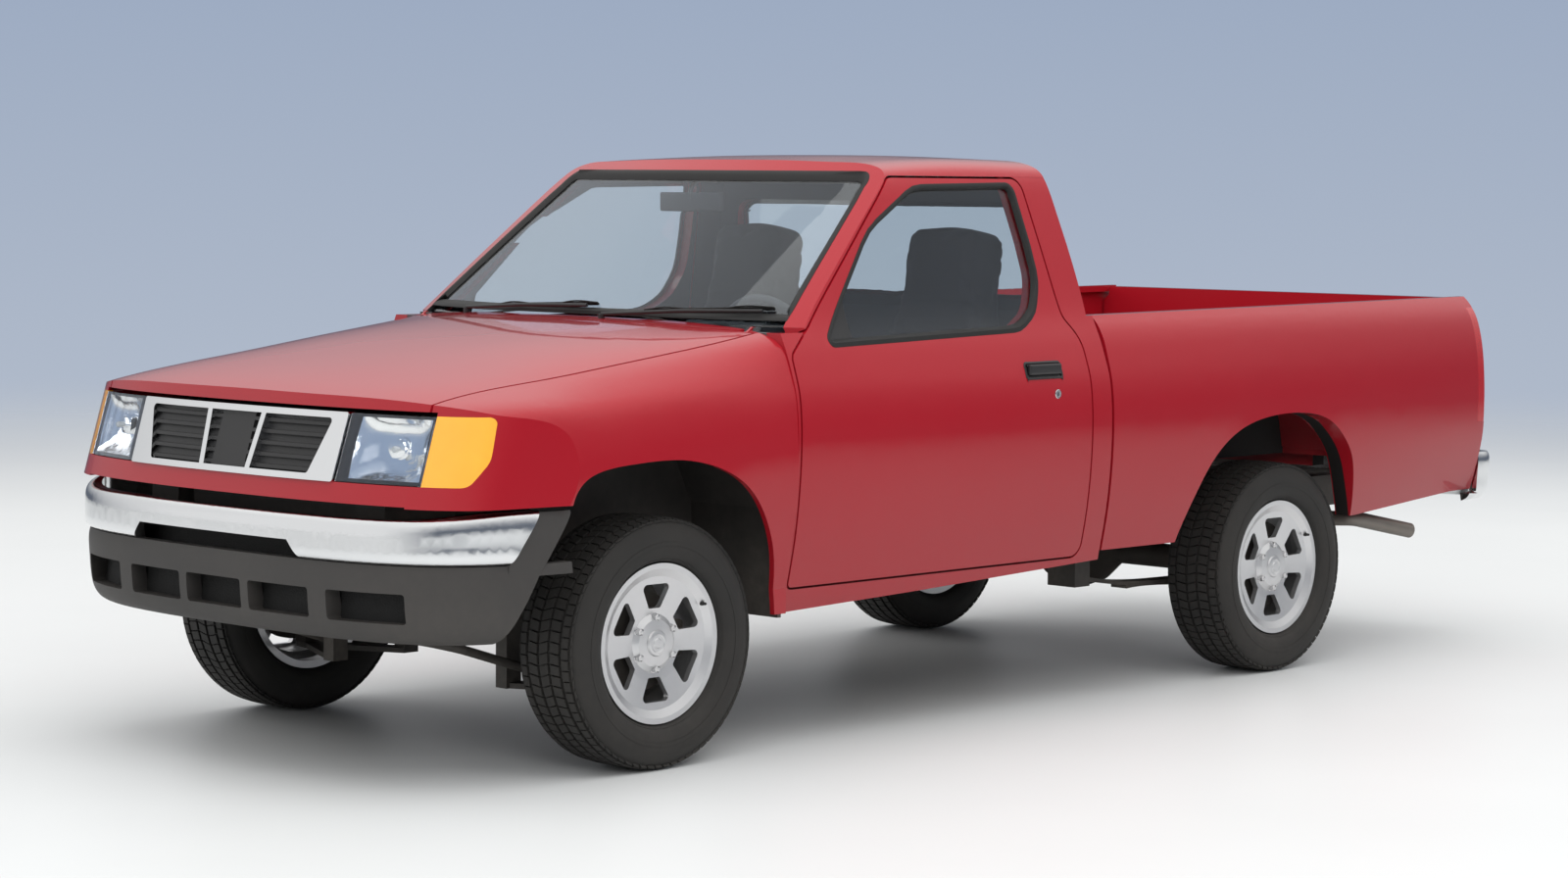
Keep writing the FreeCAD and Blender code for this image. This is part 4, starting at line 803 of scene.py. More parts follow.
def wheel_trim():
    # nuts, centre cap and valve, measured from the rim's inner edge at x = 0
    cap = turned("hub_cap", [(150, 0), (150, 34), (159, 34), (163, 31), (164, 24), (162, 21), (162, 14),
                             (164.5, 11), (165, 0)], (0, 0, 0), AXLE_WAY, 48)
    parts = [soften(cap, 30)]
    for i in range(6):
        angle = math.radians(60 * i + 30)
        place = (0, NUT_CIRCLE * math.cos(angle), NUT_CIRCLE * math.sin(angle))
        nut = turned(f"nut_{i}", [(144, 0), (144, 13), (148, 12.5), (149, 10), (162, 9.6), (165, 6),
                                  (165.6, 0)], place, AXLE_WAY, 6)
        parts.append(soften(nut, 25))
    place = (0, VALVE_CIRCLE * math.cos(VALVE_TURN), VALVE_CIRCLE * math.sin(VALVE_TURN))
    parts.append(turned("valve", [(157, 0), (157, 6), (167, 5.5), (169, 4), (176, 4), (178, 2.6), (178, 0)],
                        place, AXLE_WAY, 12))
    return parts


TYRE_MASTER = moulded_tyre("tyre_master")
TRIM_MASTER = wheel_trim()
for end, (axle_y, half_track, rim_edge) in AXLES.items():
    for side, mirror_x in (("left", Matrix.Identity(4)), ("right", FLIP)):
        label = f"{end}_{side}"
        to_tyre, to_rim = [mirror_x @ Matrix.Translation((x / 1000, axle_y / 1000, AXLE_HEIGHT / 1000))
                           for x in (half_track, rim_edge)]
        tyre = moved(copy_of(TYRE_MASTER, "tread_" + label), to_tyre)
        finish(tyre, TYRE_RUBBER, "wheel_" + label, "tyre_" + label)
        cap, *nuts, valve = [moved(copy_of(part, f"{part.name}_{label}"), to_rim) for part in TRIM_MASTER]
        finish(cap, ALLOY, "wheel_" + label)
        finish(joined("wheel_nuts_" + label, nuts), NUT_CHROME, "wheel_" + label)
        finish(valve, RUBBER, "wheel_" + label)
for part in [TYRE_MASTER] + TRIM_MASTER:
    bpy.data.objects.remove(part)


# Glazing: rubbers round the panes and a black corner patch

LEFT_WAY = (1, 0, 0)
BACK_WAY = (0, 1, 0)
FRONT_WAY = (0, -1, 0)
RUBBER_DEPTH = 2.5
WINDOW = [(604, 1060), (1404, 1082), (1490, 1128), (1530, 1215), (1522, 1320), (1500, 1482), (1085, 1474),
          (868, 1358)]
WINDOW_TURNS = [12, 120, 90, 120, 300, 26, 150, 300]


def ring_on(outline, nodes, view, by, lift):
    # an outline moved outwards, laid on the nodes as seen from a side and lifted
    return whole([seen(nodes, view, u, v, lift) for u, v in offset_loop(outline, by)])


def door_pair(name, obj, mat):
    # the left door's piece and its mirror image on the right door
    other = moved(copy_of(obj, name + "_right"), FLIP)
    obj.name = name + "_left"
    finish(obj, mat, "door_left")
    finish(other, mat, "door_right")


side_edge = filled(rounded_loop(WINDOW, WINDOW_TURNS), 60)
side_lip = ring_on(side_edge, "door_left", "left", 1.2, 2.0)
side_pane = ring_on(side_edge, "door_left_glass", "left", -3, 0)
side_rings = [ring_on(side_edge, "door_left", "left", 9, 0.7), side_lip,
              [Vector((a.x, b.y, b.z)) for a, b in zip(side_lip, side_pane)],
              ring_on(side_edge, "door_left_glass", "left", -11, 0.9)]
side_rubber = strip("door_glass_rubber_left", side_rings, RUBBER_DEPTH, LEFT_WAY, 0.6)
door_pair("door_glass_rubber", side_rubber, RUBBER)


def on_pane(u, v):
    # a point of the side glass, looked for further back where the glass has ended
    for step in range(0, 60, 3):
        place = seen("door_left_glass", "left", u + step, v, 2.2)
        if place:
            return place


# black patch over the front corner of the side glass
PATCH = [(617, 1064), (718, 1066), (718, 1190), (705, 1176)]
patch = draped("corner_patch", PATCH, 10, 10, lambda u, v, s, t: on_pane(u, v))
door_pair("corner_patch", thickened(patch, 2.0, LEFT_WAY, 0.6), BLACK_TRIM)


# Windshield: the glass ends where a ray from the front no longer meets it

SCREEN_OUT = Vector((0, -0.788, 0.616))
SCREEN_UP = Vector((0, 0.616, 0.788))
SCREEN_SLOPE = 1.28
SCREEN_FOOT = 1118
SCREEN_TOP = 1508
SCREEN_TURN = (562, 1466, 42)


def glass_half(z):
    low, high = 500.0, 760.0
    for _ in range(14):
        middle = (low + high) / 2
        if surface_point("cab_glass", (middle, -1300, z), (0, 1, 0)):
            low = middle
        else:
            high = middle
    return low


def screen_outline():
    right = [(glass_half(z), z) for z in (SCREEN_FOOT, 1150, 1190, 1230, 1270, 1310, 1350, 1390, 1430)]
    turn_x, turn_z, turn_radius = SCREEN_TURN
    for a in range(0, 91, 15):
        angle = math.radians(a)
        right.append((turn_x + turn_radius * math.cos(angle), turn_z + turn_radius * math.sin(angle)))
    right += [(x, SCREEN_TOP) for x in range(480, 0, -80)]
    left = [(-x, z) for x, z in reversed(right)]
    return right + [(0, SCREEN_TOP)] + left + [(x, SCREEN_FOOT) for x in range(-600, 601, 100)]


screen_edge = screen_outline()


def screen_ring(by, lift):
    ring = []
    for x, z in offset_loop(screen_edge, by):
        # the glass lies 10 mm under the skin, so points beside it are found from the glass nearer the middle
        half = glass_half(z) - 1
        inside = (max(-half, min(half, x)), min(z, SCREEN_TOP))
        place = seen("cab_glass", "front", *inside)
        if place:
            rise = (z - inside[1]) / 1000
            place = place + Vector(((x - inside[0]) / 1000, rise * SCREEN_SLOPE, rise))
            place = place + SCREEN_OUT * (lift / 1000)
        ring.append(place)
    return whole(ring)


screen_rings = [screen_ring(by, lift) for by, lift in ((3.5, 10.6), (-5, 11.2), (-9, 9.0), (-20, 1.0))]
finish(strip("windshield_rubber", screen_rings, RUBBER_DEPTH, SCREEN_OUT, 0.6), RUBBER)

# rear window
REAR_WINDOW = [(-600, 1150), (600, 1150), (556, 1432), (-556, 1432)]
rear_edge = filled(rounded_loop(REAR_WINDOW, [60, 60, 60, 60]), 90)
rear_lip = ring_on(rear_edge, "cab_back", "back", 1, 2.0)
rear_pane = ring_on(rear_edge, "cab_glass", "back", -4, 0)
rear_rings = [ring_on(rear_edge, "cab_back", "back", 10, 0.6), rear_lip,
              [Vector((b.x, a.y, b.z)) for a, b in zip(rear_lip, rear_pane)],
              ring_on(rear_edge, "cab_glass", "back", -14, 0.9)]
finish(strip("rear_window_rubber", rear_rings, RUBBER_DEPTH, BACK_WAY, 0.6), RUBBER)

# Door handles and locks
HANDLE = [(1374, 944), (1532, 944), (1532, 990), (1374, 990)]
bezel_edge = filled(rounded_loop(HANDLE, [10, 10, 10, 10]), 30)
# from the foot on the skin over the rim and down into the cup: (grow, lift)
BEZEL_RINGS = ((2.0, 0.3), (0.5, 3.0), (-3, 3.2), (-5, 1.2), (-21, 0.6))
bezel_rings = [ring_on(bezel_edge, "door_left", "left", by, lift) for by, lift in BEZEL_RINGS]
door_pair("door_handle_bezel", strip("door_handle_bezel", bezel_rings, 1.5, LEFT_WAY, 0), BLACK_TRIM)
flap = block("door_handle_flap", (0, 1384, 955), (10, 1522, 984))
flap_foot = seen("door_left", "left", 1453, 969)
moved(flap, Matrix.Translation((flap_foot.x + 0.0005, 0, 0)))
dished(flap, lambda middle, normal: normal.x > 0.9, 0.005, (0.003, 0, 0))
bevel(flap, 2.4, 3, 20)
door_pair("door_handle_flap", flap, BLACK_TRIM)
to_lock = Matrix.Translation(seen("door_left", "left", 1502, 899) - spot(0, 0, 0))
lock = turned("door_lock", [(-3, 0), (-3, 13), (1.2, 13), (2.6, 11.5), (2.6, 8), (1.8, 7.5), (1.8, 0)],
              (0, 0, 0), LEFT_WAY, 32)
slit = block("lock_slit", (1.5, -1.2, -5), (2.4, 1.2, 5))
door_pair("door_lock", moved(lock, to_lock), NUT_CHROME)
door_pair("door_lock_slit", moved(slit, to_lock), BLACK_TRIM)


# Headlamps: a bright bowl and a bulb behind a fluted lens, in the place of the plain CAD lamps

def border(corners, per_side):
    points = []
    for i, corner in enumerate(corners):
        a, b = Vector(corner), Vector(corners[(i + 1) % len(corners)])
        points += [tuple(a.lerp(b, k / per_side)) for k in range(per_side)]
    return points


# where the lamp's front is looked for when a ray just misses its edge
NEARBY = ((0, 0), (-3, 0), (3, 0), (0, 3), (0, -3), (-4, -4), (-4, 4), (4, -4), (4, 4))
LENS_CORNERS = [(411, 751), (666, 751), (666, 915), (415, 915)]
BOWL_CORNERS = [(441, 759), (660, 759), (660, 907), (444, 907)]
RIM_CORNERS = [(444, 759), (657, 759), (657, 907), (447, 907)]
BULB_PLACE = (552, 833)
BULB_WAY = Vector((0.35, -1, 0)).normalized()


def lamp_face(x, z, back=0.0):
    # a point of the lamp's front, moved back along the truck
    place = None
    for dx, dz in NEARBY:
        place = place or seen("headlamps", "front", x + dx, z + dz)
    return place + Vector((0, back / 1000, 0))


def bowl_depth(s, t):
    return 9 + 34 * (1 - abs(s) ** 3.2) * (1 - abs(t) ** 3.2)


def lamp_set(name):
    lens = draped(name + "_lens", LENS_CORNERS, 30, 18, lambda u, v, s, t: lamp_face(u, v))
    thickened(lens, 3, FRONT_WAY, 0)
    bowl = draped(name + "_bowl", BOWL_CORNERS, 28, 20, lambda u, v, s, t: lamp_face(u, v, bowl_depth(s, t)))
    thickened(bowl, 1.5, FRONT_WAY, 0)
    steps = ((LENS_CORNERS, 3.4), (RIM_CORNERS, 7.0), (BOWL_CORNERS, 10))
    rings = [[lamp_face(x, z, back) for x, z in border(corners, 8)] for corners, back in steps]
    housing = strip(name + "_housing", rings, 1.5, FRONT_WAY, 0)
    shield = turned(name + "_shield", [(0, 0), (0, 30), (3, 30), (5, 24), (12, 22), (14, 14), (14, 0)],
                    (0, 0, 0), BULB_WAY, 32)
    bulb = turned(name + "_bulb", [(12, 0), (12, 7), (20, 8), (27, 7.6), (31, 5), (32.5, 0)],
                  (0, 0, 0), BULB_WAY, 20)
    middle = lamp_face(*BULB_PLACE, 43)
    for part in (shield, bulb):
        moved(part, Matrix.Translation(middle - spot(0, 0, 0) + BULB_WAY * 0.002))
        soften(part, 40)
    return lens, bowl, housing, shield, bulb


lamp_parts = lamp_set("headlamp")
for part, mat in zip(lamp_parts, (FLUTED, REFLECTOR, BLACK_TRIM, REFLECTOR, BULB)):
    label = part.name
    other = moved(copy_of(part, label + "_right"), FLIP)
    part.name = label + "_left"
    finish(other, mat)
    finish(part, mat)
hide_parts("headlamps")


# Painted shade: a near-black sheet behind the holes of the valance and the slot in the bumper, standing in
# for the dark structure there and the shadow behind the holes

def behind_bumper(x, z, back):
    place = seen("front_valance", "front", x, 524) or seen("front_valance", "front", x + 6, 524)
    return Vector((x / 1000, place.y + back / 1000, z / 1000))


shade_backing = draped("shade_backing_sheet", [(-676, 392), (676, 392), (676, 622), (-676, 622)], 40, 8,
               lambda u, v, s, t: behind_bumper(u, v, 62 + 16 * t))
finish(thickened(shade_backing, 4, FRONT_WAY, 0), BLACK_MESH_AND_SHADE)


# Wiper blades on the glass

BLADE_STEPS = 14


def row_place(point):
    # metres back into the millimetres that tube() takes
    return (point.x * 1000, point.y * 1000 - AXLE_SHIFT, point.z * 1000)


def blade(name, x0, z0, x1, z1):
    spine = []
    for k in range(BLADE_STEPS + 1):
        x, z = x0 + (x1 - x0) * k / BLADE_STEPS, z0 + (z1 - z0) * k / BLADE_STEPS
        spine.append(seen("cab_glass", "front", x, z) + SCREEN_OUT * 0.011)
    upper, lower = [[p + SCREEN_UP * side for p in spine] for side in (0.0026, -0.0026)]
    rail = chain(name, upper + lower[::-1])
    edit(rail, "VERT")
    select_ends(rail)
    bpy.ops.mesh.edge_face_add()
    bpy.ops.mesh.select_all(action="SELECT")
    bpy.ops.mesh.edge_face_add()
    bpy.ops.mesh.extrude_region_move(TRANSFORM_OT_translate={"value": SCREEN_OUT * -0.0095})
    done()
    tidy(rail)
    line = [row_place(p + SCREEN_OUT * 0.001) for p in spine[1:-1]]
    parts = [rail, tube(name + "_spine", line, 2.6, 6, False)]
    for start, end in ((0, 5), (9, 14)):
        a, b = spine[start], spine[end]
        top = (a + b) / 2 + SCREEN_OUT * 0.009
        parts.append(tube(f"{name}_yoke_{start}", [row_place(q) for q in (a, top, b)], 2.2, 6))
    return joined(name, parts)


finish(blade("wiper_blade_left", 262, 1132, 648, 1148), RUBBER)
finish(blade("wiper_blade_right", -330, 1130, 72, 1146), RUBBER)


# Seats: stuffed cushion and back over a steel base, in the place of the plain CAD seats

CUSHION = [(862, 572), (1415, 560), (1400, 660), (1330, 690), (900, 716), (853, 668)]
CUSHION_TURNS = [30, 30, 40, 70, 46, 36]
# the back as the front shows it, from its middle line; the top narrows to the head rest
BACK_MIDDLE = 395
BACK_HALF = [(238, 655), (236, 900), (222, 985), (190, 1058), (160, 1118), (148, 1190), (142, 1290),
             (130, 1350), (104, 1370)]
BACK_LEAN = math.radians(-9.2)
CLOTH = {"use_pressure": True, "uniform_pressure_force": 3.0, "quality": 4, "mass": 0.4,
         "tension_stiffness": 30, "compression_stiffness": 30, "bending_stiffness": 2}
CLOTH_FRAMES = 20
CLOTH_LIMIT = 0.014


def inflate(obj):
    """Lets the cover swell as cloth with air inside, and limits how far each point moves."""
    modifier(obj, "REMESH", mode="VOXEL", voxel_size=0.008, use_smooth_shade=True)
    before = [v.co.copy() for v in obj.data.vertices]
    only(obj)
    cloth = obj.modifiers.new("cloth", "CLOTH")
    for key, value in CLOTH.items():
        setattr(cloth.settings, key, value)
    cloth.settings.effector_weights.gravity = 0
    cloth.point_cache.frame_start = 1
    cloth.point_cache.frame_end = CLOTH_FRAMES
    for number in range(1, CLOTH_FRAMES + 1):
        bpy.context.scene.frame_set(number)
    bpy.ops.object.modifier_apply(modifier=cloth.name)
    bpy.context.scene.frame_set(1)
    for vert, old in zip(obj.data.vertices, before):
        step = vert.co - old
        if step.length > CLOTH_LIMIT:
            vert.co = old + step.normalized() * CLOTH_LIMIT
    return soften(obj, 60)


def seat_cushion(name):
    # side bolsters rise a little, the middle is drawn in
    obj = side_plate(name, 155, CUSHION, CUSHION_TURNS, 480)
    for x in (250, 540):
        cut_across(obj, spot(x, 0, 0), LEFT_WAY)
    dished(obj, lambda middle, normal: normal.z > 0.6 and 0.25 < middle.x < 0.54, 0.018, (0, 0, -0.014))
    return bevel(tidy(obj), 18, 3, 40)


def seat_back(name):
    outline = [(BACK_MIDDLE + x, z) for x, z in BACK_HALF]
    outline += [(BACK_MIDDLE - x, z) for x, z in reversed(BACK_HALF)]
    obj = plate(name, [Vector((x / 1000, 0, z / 1000)) for x, z in outline], Vector((0, 0.115, 0)))
    lean = Matrix.Rotation(BACK_LEAN, 4, "X")
    moved(obj, Matrix.Translation(spot(0, 1404, 655)) @ lean @ Matrix.Translation((0, 0, -0.655)))
    for level in (760, 1085, 1140):
        cut_across(obj, spot(0, 0, level), (0, 0, 1))
    for x in (262, 528):
        cut_across(obj, spot(x, 0, 0), LEFT_WAY)
    dished(obj, lambda at, normal: normal.y < -0.7 and 0.262 < at.x < 0.528 and 0.76 < at.z < 1.085, 0.016,
           (0, 0.014, 0))
    dished(obj, lambda at, normal: normal.y < -0.7 and at.z > 1.14, 0.014, (0, -0.010, 0))
    return bevel(tidy(obj), 20, 3, 40)


cushion = inflate(seat_cushion("seat_cushion"))
back_rest = inflate(seat_back("seat_backrest"))
runner = joined("seat_base", [block("runner_a", (190, 880, 488), (222, 1400, 512)),
                              block("runner_b", (568, 880, 488), (600, 1400, 512)),
                              block("pan", (176, 872, 512), (614, 1408, 566))])
bevel(runner, 4, 2, 40)
hinge_cover = side_plate("recliner_cover", 630, [(1352, 600), (1470, 600), (1500, 760), (1440, 770)],
                         [24, 30, 24, 20], 10)
bevel(hinge_cover, 3, 2, 40)
lever = tube("recliner_lever", [(641, 1400, 640), (646, 1376, 652), (646, 1330, 656), (646, 1290, 650)], 6, 8)
SEAT_PARTS = ((cushion, SEAT_CLOTH), (back_rest, SEAT_CLOTH), (runner, STEEL), (hinge_cover, DASH),
              (lever, DASH))
for label, mirror_x in (("left", Matrix.Identity(4)), ("right", FLIP)):
    for part, mat in SEAT_PARTS:
        piece = finish(moved(copy_of(part, f"{part.name}_{label}"), mirror_x), mat)
        if part is runner:
            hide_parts("seat_" + label)
for part, mat in SEAT_PARTS:
    bpy.data.objects.remove(part)


# Trim inside the cab, laid on its walls

def lining(name, nodes, view, corners, across, down, side, thick, lift):
    mid_u = sum(c[0] for c in corners) / 4
    mid_v = sum(c[1] for c in corners) / 4

    def put(u, v, s, t):
        # a point that meets nothing is drawn in towards the middle until it does
        for share in (1, 0.97, 0.94, 0.9, 0.85, 0.8, 0.7):
            place = seen(nodes, view, mid_u + (u - mid_u) * share, mid_v + (v - mid_v) * share, lift)
            if place:
                return place
    return thickened(draped(name, corners, across, down, put), thick, side, 0)


headliner = lining("headliner", "roof", "up", [(-560, 1010), (560, 1010), (570, 1560), (-570, 1560)],
                   24, 16, (0, 0, -1), 5, 2)
finish(headliner, LINING)
back_trim = lining("cab_back_trim", "cab_back", "aft", [(-650, 520), (650, 520), (650, 1118), (-650, 1118)],
                   20, 12, FRONT_WAY, 6, 2)
finish(back_trim, DASH)
card = lining("door_card", "door_left", "inside", [(520, 480), (1590, 480), (1590, 1010), (520, 1010)],
              30, 18, (-1, 0, 0), 6, 1.5)
door_pair("door_card", card, DASH)

# Arm rest, window crank, speaker and inner handle on each door card
card_x = seen("door_left", "inside", 1050, 760, 7.5).x * 1000
arm_rest = side_plate("arm_rest", card_x + 4, [(900, 720), (1420, 716), (1420, 770), (1180, 778), (900, 800)],
                      [16, 20, 16, 60, 16], -52)
door_pair("arm_rest", bevel(arm_rest, 11, 3, 40), SEAT_CLOTH)
crank_line = [(card_x - 9, 860, 640), (card_x - 18, 880, 676), (card_x - 22, 904, 724)]
crank = [turned("window_crank", [(4, 0), (4, 24), (-4, 24), (-10, 18), (-12, 0)], (card_x, 860, 640),
                LEFT_WAY, 28),
         tube("crank_arm", crank_line, 6.5, 8),
         turned("crank_knob", [(0, 0), (0, 10), (-6, 13), (-22, 12), (-28, 7), (-28, 0)], crank_line[-1],
                LEFT_WAY, 20)]
door_pair("window_crank", joined("window_crank", crank), BLACK_TRIM)
speaker = turned("door_speaker", [(6, 0), (6, 82), (-1, 82), (-4, 78), (-2, 72), (-3, 40), (-6, 0)],
                 (card_x, 660, 580), LEFT_WAY, 40)
door_pair("door_speaker", soften(speaker, 30), BLACK_MESH_AND_SHADE)
pull = block("inner_handle", (card_x - 12, 760, 880), (card_x + 4, 860, 914))
door_pair("inner_handle", bevel(pull, 5, 3, 30), NUT_CHROME)


# Dashboard: hood with the instruments, vents, radio, heater knobs and glove box lid

PLATE_DEPTH = 20
DIAL = [(-4, 0), (-4, 30), (0, 31), (1.5, 29), (0.5, 27), (0, 0)]
DASH_KNOB = [(0, 0), (0, 15), (12, 14.5), (22, 11), (24, 9), (24, 0)]


def dash_y(x, z):
    # where the dashboard's face stands, in millimetres
    return seen("dashboard", "back", x, z).y * 1000 - AXLE_SHIFT


def dash_plate(name, x0, x1, z0, z1, lift, round_off, mat):
    foot = dash_y((x0 + x1) / 2, (z0 + z1) / 2)
    obj = block(name, (x0, foot - PLATE_DEPTH, z0), (x1, foot + lift, z1))
    finish(bevel(obj, round_off, 3, 30), mat)


cluster_hood = side_plate("instrument_hood", 222, [(600, 1046), (738, 1046), (742, 1098), (640, 1106)],
                          [6, 8, 16, 30], 296, 15)
edit(cluster_hood)
pick(cluster_hood, lambda middle, normal: normal.y > 0.8)
bpy.ops.mesh.inset(thickness=0.010)
bpy.ops.mesh.extrude_region_move(TRANSFORM_OT_translate={"value": (0, -0.045, 0)})
done()
finish(bevel(cluster_hood, 4, 2, 35), DASH)
for number, x in enumerate((300, 370, 440)):
    finish(soften(turned(f"dial_{number}", DIAL, (x, 705, 1074), BACK_WAY, 36), 30), BLACK_TRIM)
for number, x in enumerate((-690, -110, 110, 690)):
    dash_plate(f"vent_frame_{number}", x - 58, x + 58, 1000, 1044, 7, 6, BLACK_TRIM)
    y = dash_y(x, 1022)
    slats = [block("slat", (x - 50, y + 5, z), (x + 50, y + 9.5, z + 2.5)) for z in range(1005, 1038, 6)]
    finish(joined(f"vent_slats_{number}", slats), DASH)
dash_plate("centre_panel", -96, 96, 770, 984, 4, 7, BLACK_TRIM)
dash_plate("radio", -90, 90, 900, 950, 8, 3, BLACK_MESH_AND_SHADE)
for number, (x, z) in enumerate(((-70, 925), (70, 925), (-58, 834), (0, 834), (58, 834))):
    knob = turned(f"dash_knob_{number}", DASH_KNOB, (x, dash_y(x, z), z), BACK_WAY, 24)
    finish(soften(knob, 35), BLACK_TRIM)
lid = side_plate("glove_box_lid", -648, [(660, 702), (700, 702), (712, 868), (672, 868)], [3, 8, 8, 3], 516)
finish(bevel(lid, 3, 2, 30), DASH)
finish(bevel(block("glove_box_latch", (-410, 700, 838), (-366, 716, 856)), 3, 2, 30), BLACK_TRIM)


# Horn pad on the steering wheel, column cover and stalks

COLUMN_WAY = Vector((0, 166, 57)).normalized()
pad = block("horn_pad", (-74, -52, 8), (74, 46, 30))
dished(pad, lambda middle, normal: normal.z > 0.9, 0.012, (0, 0, 0.010))
bevel(pad, 8, 3, 25)
to_hub = Matrix.Translation(spot(370, 806, 972) + COLUMN_WAY * 0.032)
to_column = COLUMN_WAY.to_track_quat("Z", "Y").to_matrix().to_4x4()
moved(pad, to_hub @ to_column @ Matrix.Translation(-spot(0, 0, 0)))
finish(pad, DASH, "steering_wheel")
finish(bevel(round_bar("column_cover", (370, 690, 932), (370, 778, 962), 44, 28), 6, 3, 40), DASH)
for number, side in enumerate((-1, 1)):
    line = [(370 + side * 40, 750, 955), (370 + side * 90, 762, 968), (370 + side * 150, 768, 978)]
    finish(tube(f"stalk_{number}", line, 5, 8), BLACK_TRIM)


# Mirror, sun visors, gear lever and pedals

mirror = block("inside_mirror", (-122, 872, 1398), (122, 892, 1452))
dished(mirror, lambda middle, normal: normal.y > 0.9, 0.006, (0, -0.002, 0))
finish(bevel(mirror, 5, 3, 30), BLACK_TRIM)
finish(block("mirror_face", (-114, 889, 1406), (114, 891.5, 1444)), REFLECTOR)
finish(tube("mirror_stalk", [(0, 874, 1430), (0, 880, 1466), (0, 912, 1496)], 7, 8), BLACK_TRIM)
for label, low_x in (("right", -500), ("left", 130)):
    visor = block("sun_visor_" + label, (low_x, 985, 1480), (low_x + 370, 1120, 1495))
    finish(bevel(visor, 6, 3, 30), LINING)
boot = turned("lever_boot", [(0, 0), (0, 52), (8, 50), (14, 42), (22, 40), (28, 30), (36, 28), (44, 17),
                             (56, 12), (56, 0)], (0, 990, 694), (0, 0.1, 1), 32)
finish(soften(boot, 50), RUBBER)
finish(tube("gear_lever", [(0, 994, 730), (0, 1004, 800), (0, 1030, 880), (0, 1044, 930)], 6, 10), NUT_CHROME)
knob = turned("lever_knob", [(0, 0), (0, 12), (10, 17), (26, 23), (40, 20), (50, 10), (52, 0)],
              (0, 1041, 922), (0, 0.25, 1), 28)
finish(soften(knob, 50), BLACK_TRIM)
for number, (x, half) in enumerate(((270, 34), (370, 40), (470, 26))):
    arm = tube(f"pedal_arm_{number}", [(x, 560, 720), (x, 590, 660), (x, 606, 600)], 6, 8)
    tread = bevel(block(f"pedal_{number}", (x - half, 600, 570), (x + half, 612, 634)), 4, 2, 30)
    finish(joined(f"pedal_{number}", [tread, arm]), RUBBER)


# Tailgate handle, lamp segments, step pad and the rear bumper's bolts

GATE_FACE = 3726.5
cup_edge = filled(rounded_loop([(-86, 1034), (86, 1034), (86, 1076), (-86, 1076)], [8, 8, 8, 8]), 40)
cup_rings = [[spot(x, GATE_FACE + lift, z) for x, z in offset_loop(cup_edge, by)]
             for by, lift in ((6, 0), (5, 2.5), (-2, 2.5), (-3, -8))]
finish(strip("tailgate_handle_bezel", cup_rings, 1.5, BACK_WAY, 0), BLACK_TRIM, "tailgate")
gate_flap = block("tailgate_handle", (-66, 3708, 1040), (66, 3724, 1068))
dished(gate_flap, lambda middle, normal: normal.y > 0.9, 0.005, (0, 0.003, 0))
finish(bevel(gate_flap, 3, 3, 25), BLACK_TRIM, "tailgate")


def on_tail_lamp(x, z):
    # a point of the lamp's face, looked for further in where x is past its edge
    for u in (x, x - 3, 760):
        place = seen("tail_lamps", "back", u, z, 0.4)
        if place:
            return place


for label, z0, z1, mat in (("reverse_lens", 842, 936, LENS_WHITE), ("turn_lens", 944, 1010, AMBER)):
    corners = [(748, z0), (800, z0), (800, z1), (748, z1)]
    lens = draped(label, corners, 8, 8, lambda u, v, s, t: on_tail_lamp(u, v))
    thickened(lens, 2.0, BACK_WAY, 0)
    moved(lens, Matrix.Translation((0, 0.0015, 0)))
    other = moved(copy_of(lens, label + "_right"), FLIP)
    lens.name = label + "_left"
    finish(lens, mat)
    finish(other, mat)
pad_line = rounded_loop([(-560, 3744), (560, 3744), (560, 3852), (-560, 3852)], [10, 10, 10, 10])
step_pad = plate("step_pad", [spot(x, y, 622.4) for x, y in pad_line], Vector((0, 0, 0.003)))
bevel(step_pad, 1.0, 2, 30)
ribs = [block("pad_rib", (-546, y, 625), (546, y + 4, 627.6)) for y in range(3752, 3846, 9)]
finish(joined("step_pad", [step_pad] + ribs), RUBBER)
# two rows of bolts on the bumper's sloping face, square to it: (y, z, way)
BOLT_ROWS = ((3845.5, 508, (0, 0.907, -0.421)), (3858.0, 545, (0, 0.989, -0.150)))
bolts = [bolt_head("bumper_bolt", (x, y, z), way, 9, 5) for x in (-390, 390) for y, z, way in BOLT_ROWS]
finish(joined("rear_bumper_bolts", bolts), NUT_CHROME)


# Shock absorbers, spring clamps, tank straps and brake pipe underneath

CLAMP = [(2600, 232), (2600, 330), (2603, 356), (2618, 372), (2649, 378), (2680, 372), (2695, 356),
         (2698, 330), (2698, 232)]
STRAP = [(-352, 478), (-352, 300), (-340, 286), (-75, 286), (-62, 300), (-62, 478)]
BRAKE_PIPE = [(-560, 2604, 352), (-400, 2602, 374), (-130, 2600, 382), (0, 2596, 420), (120, 2600, 382),
              (400, 2602, 374), (560, 2604, 352)]
EYE_HALF = Vector((20, 0, 0))


def shock(name, low, high, radius):
    a, b = Vector(low), Vector(high)
    way = (b - a).normalized()
    run = (b - a).length
    parts = [round_bar(name + "_body", a + way * 20, a + way * (run * 0.56), radius, 28),
             round_bar(name + "_sleeve", a + way * (run * 0.5), b - way * 22, radius * 1.16, 28),
             round_bar(name + "_rod", a, b, radius * 0.34, 16)]
    parts += [round_bar(name + "_eye", end - EYE_HALF, end + EYE_HALF, 16, 24) for end in (a, b)]
    for part in parts:
        bevel(part, 1.6, 2, 40)
    return joined(name, parts)


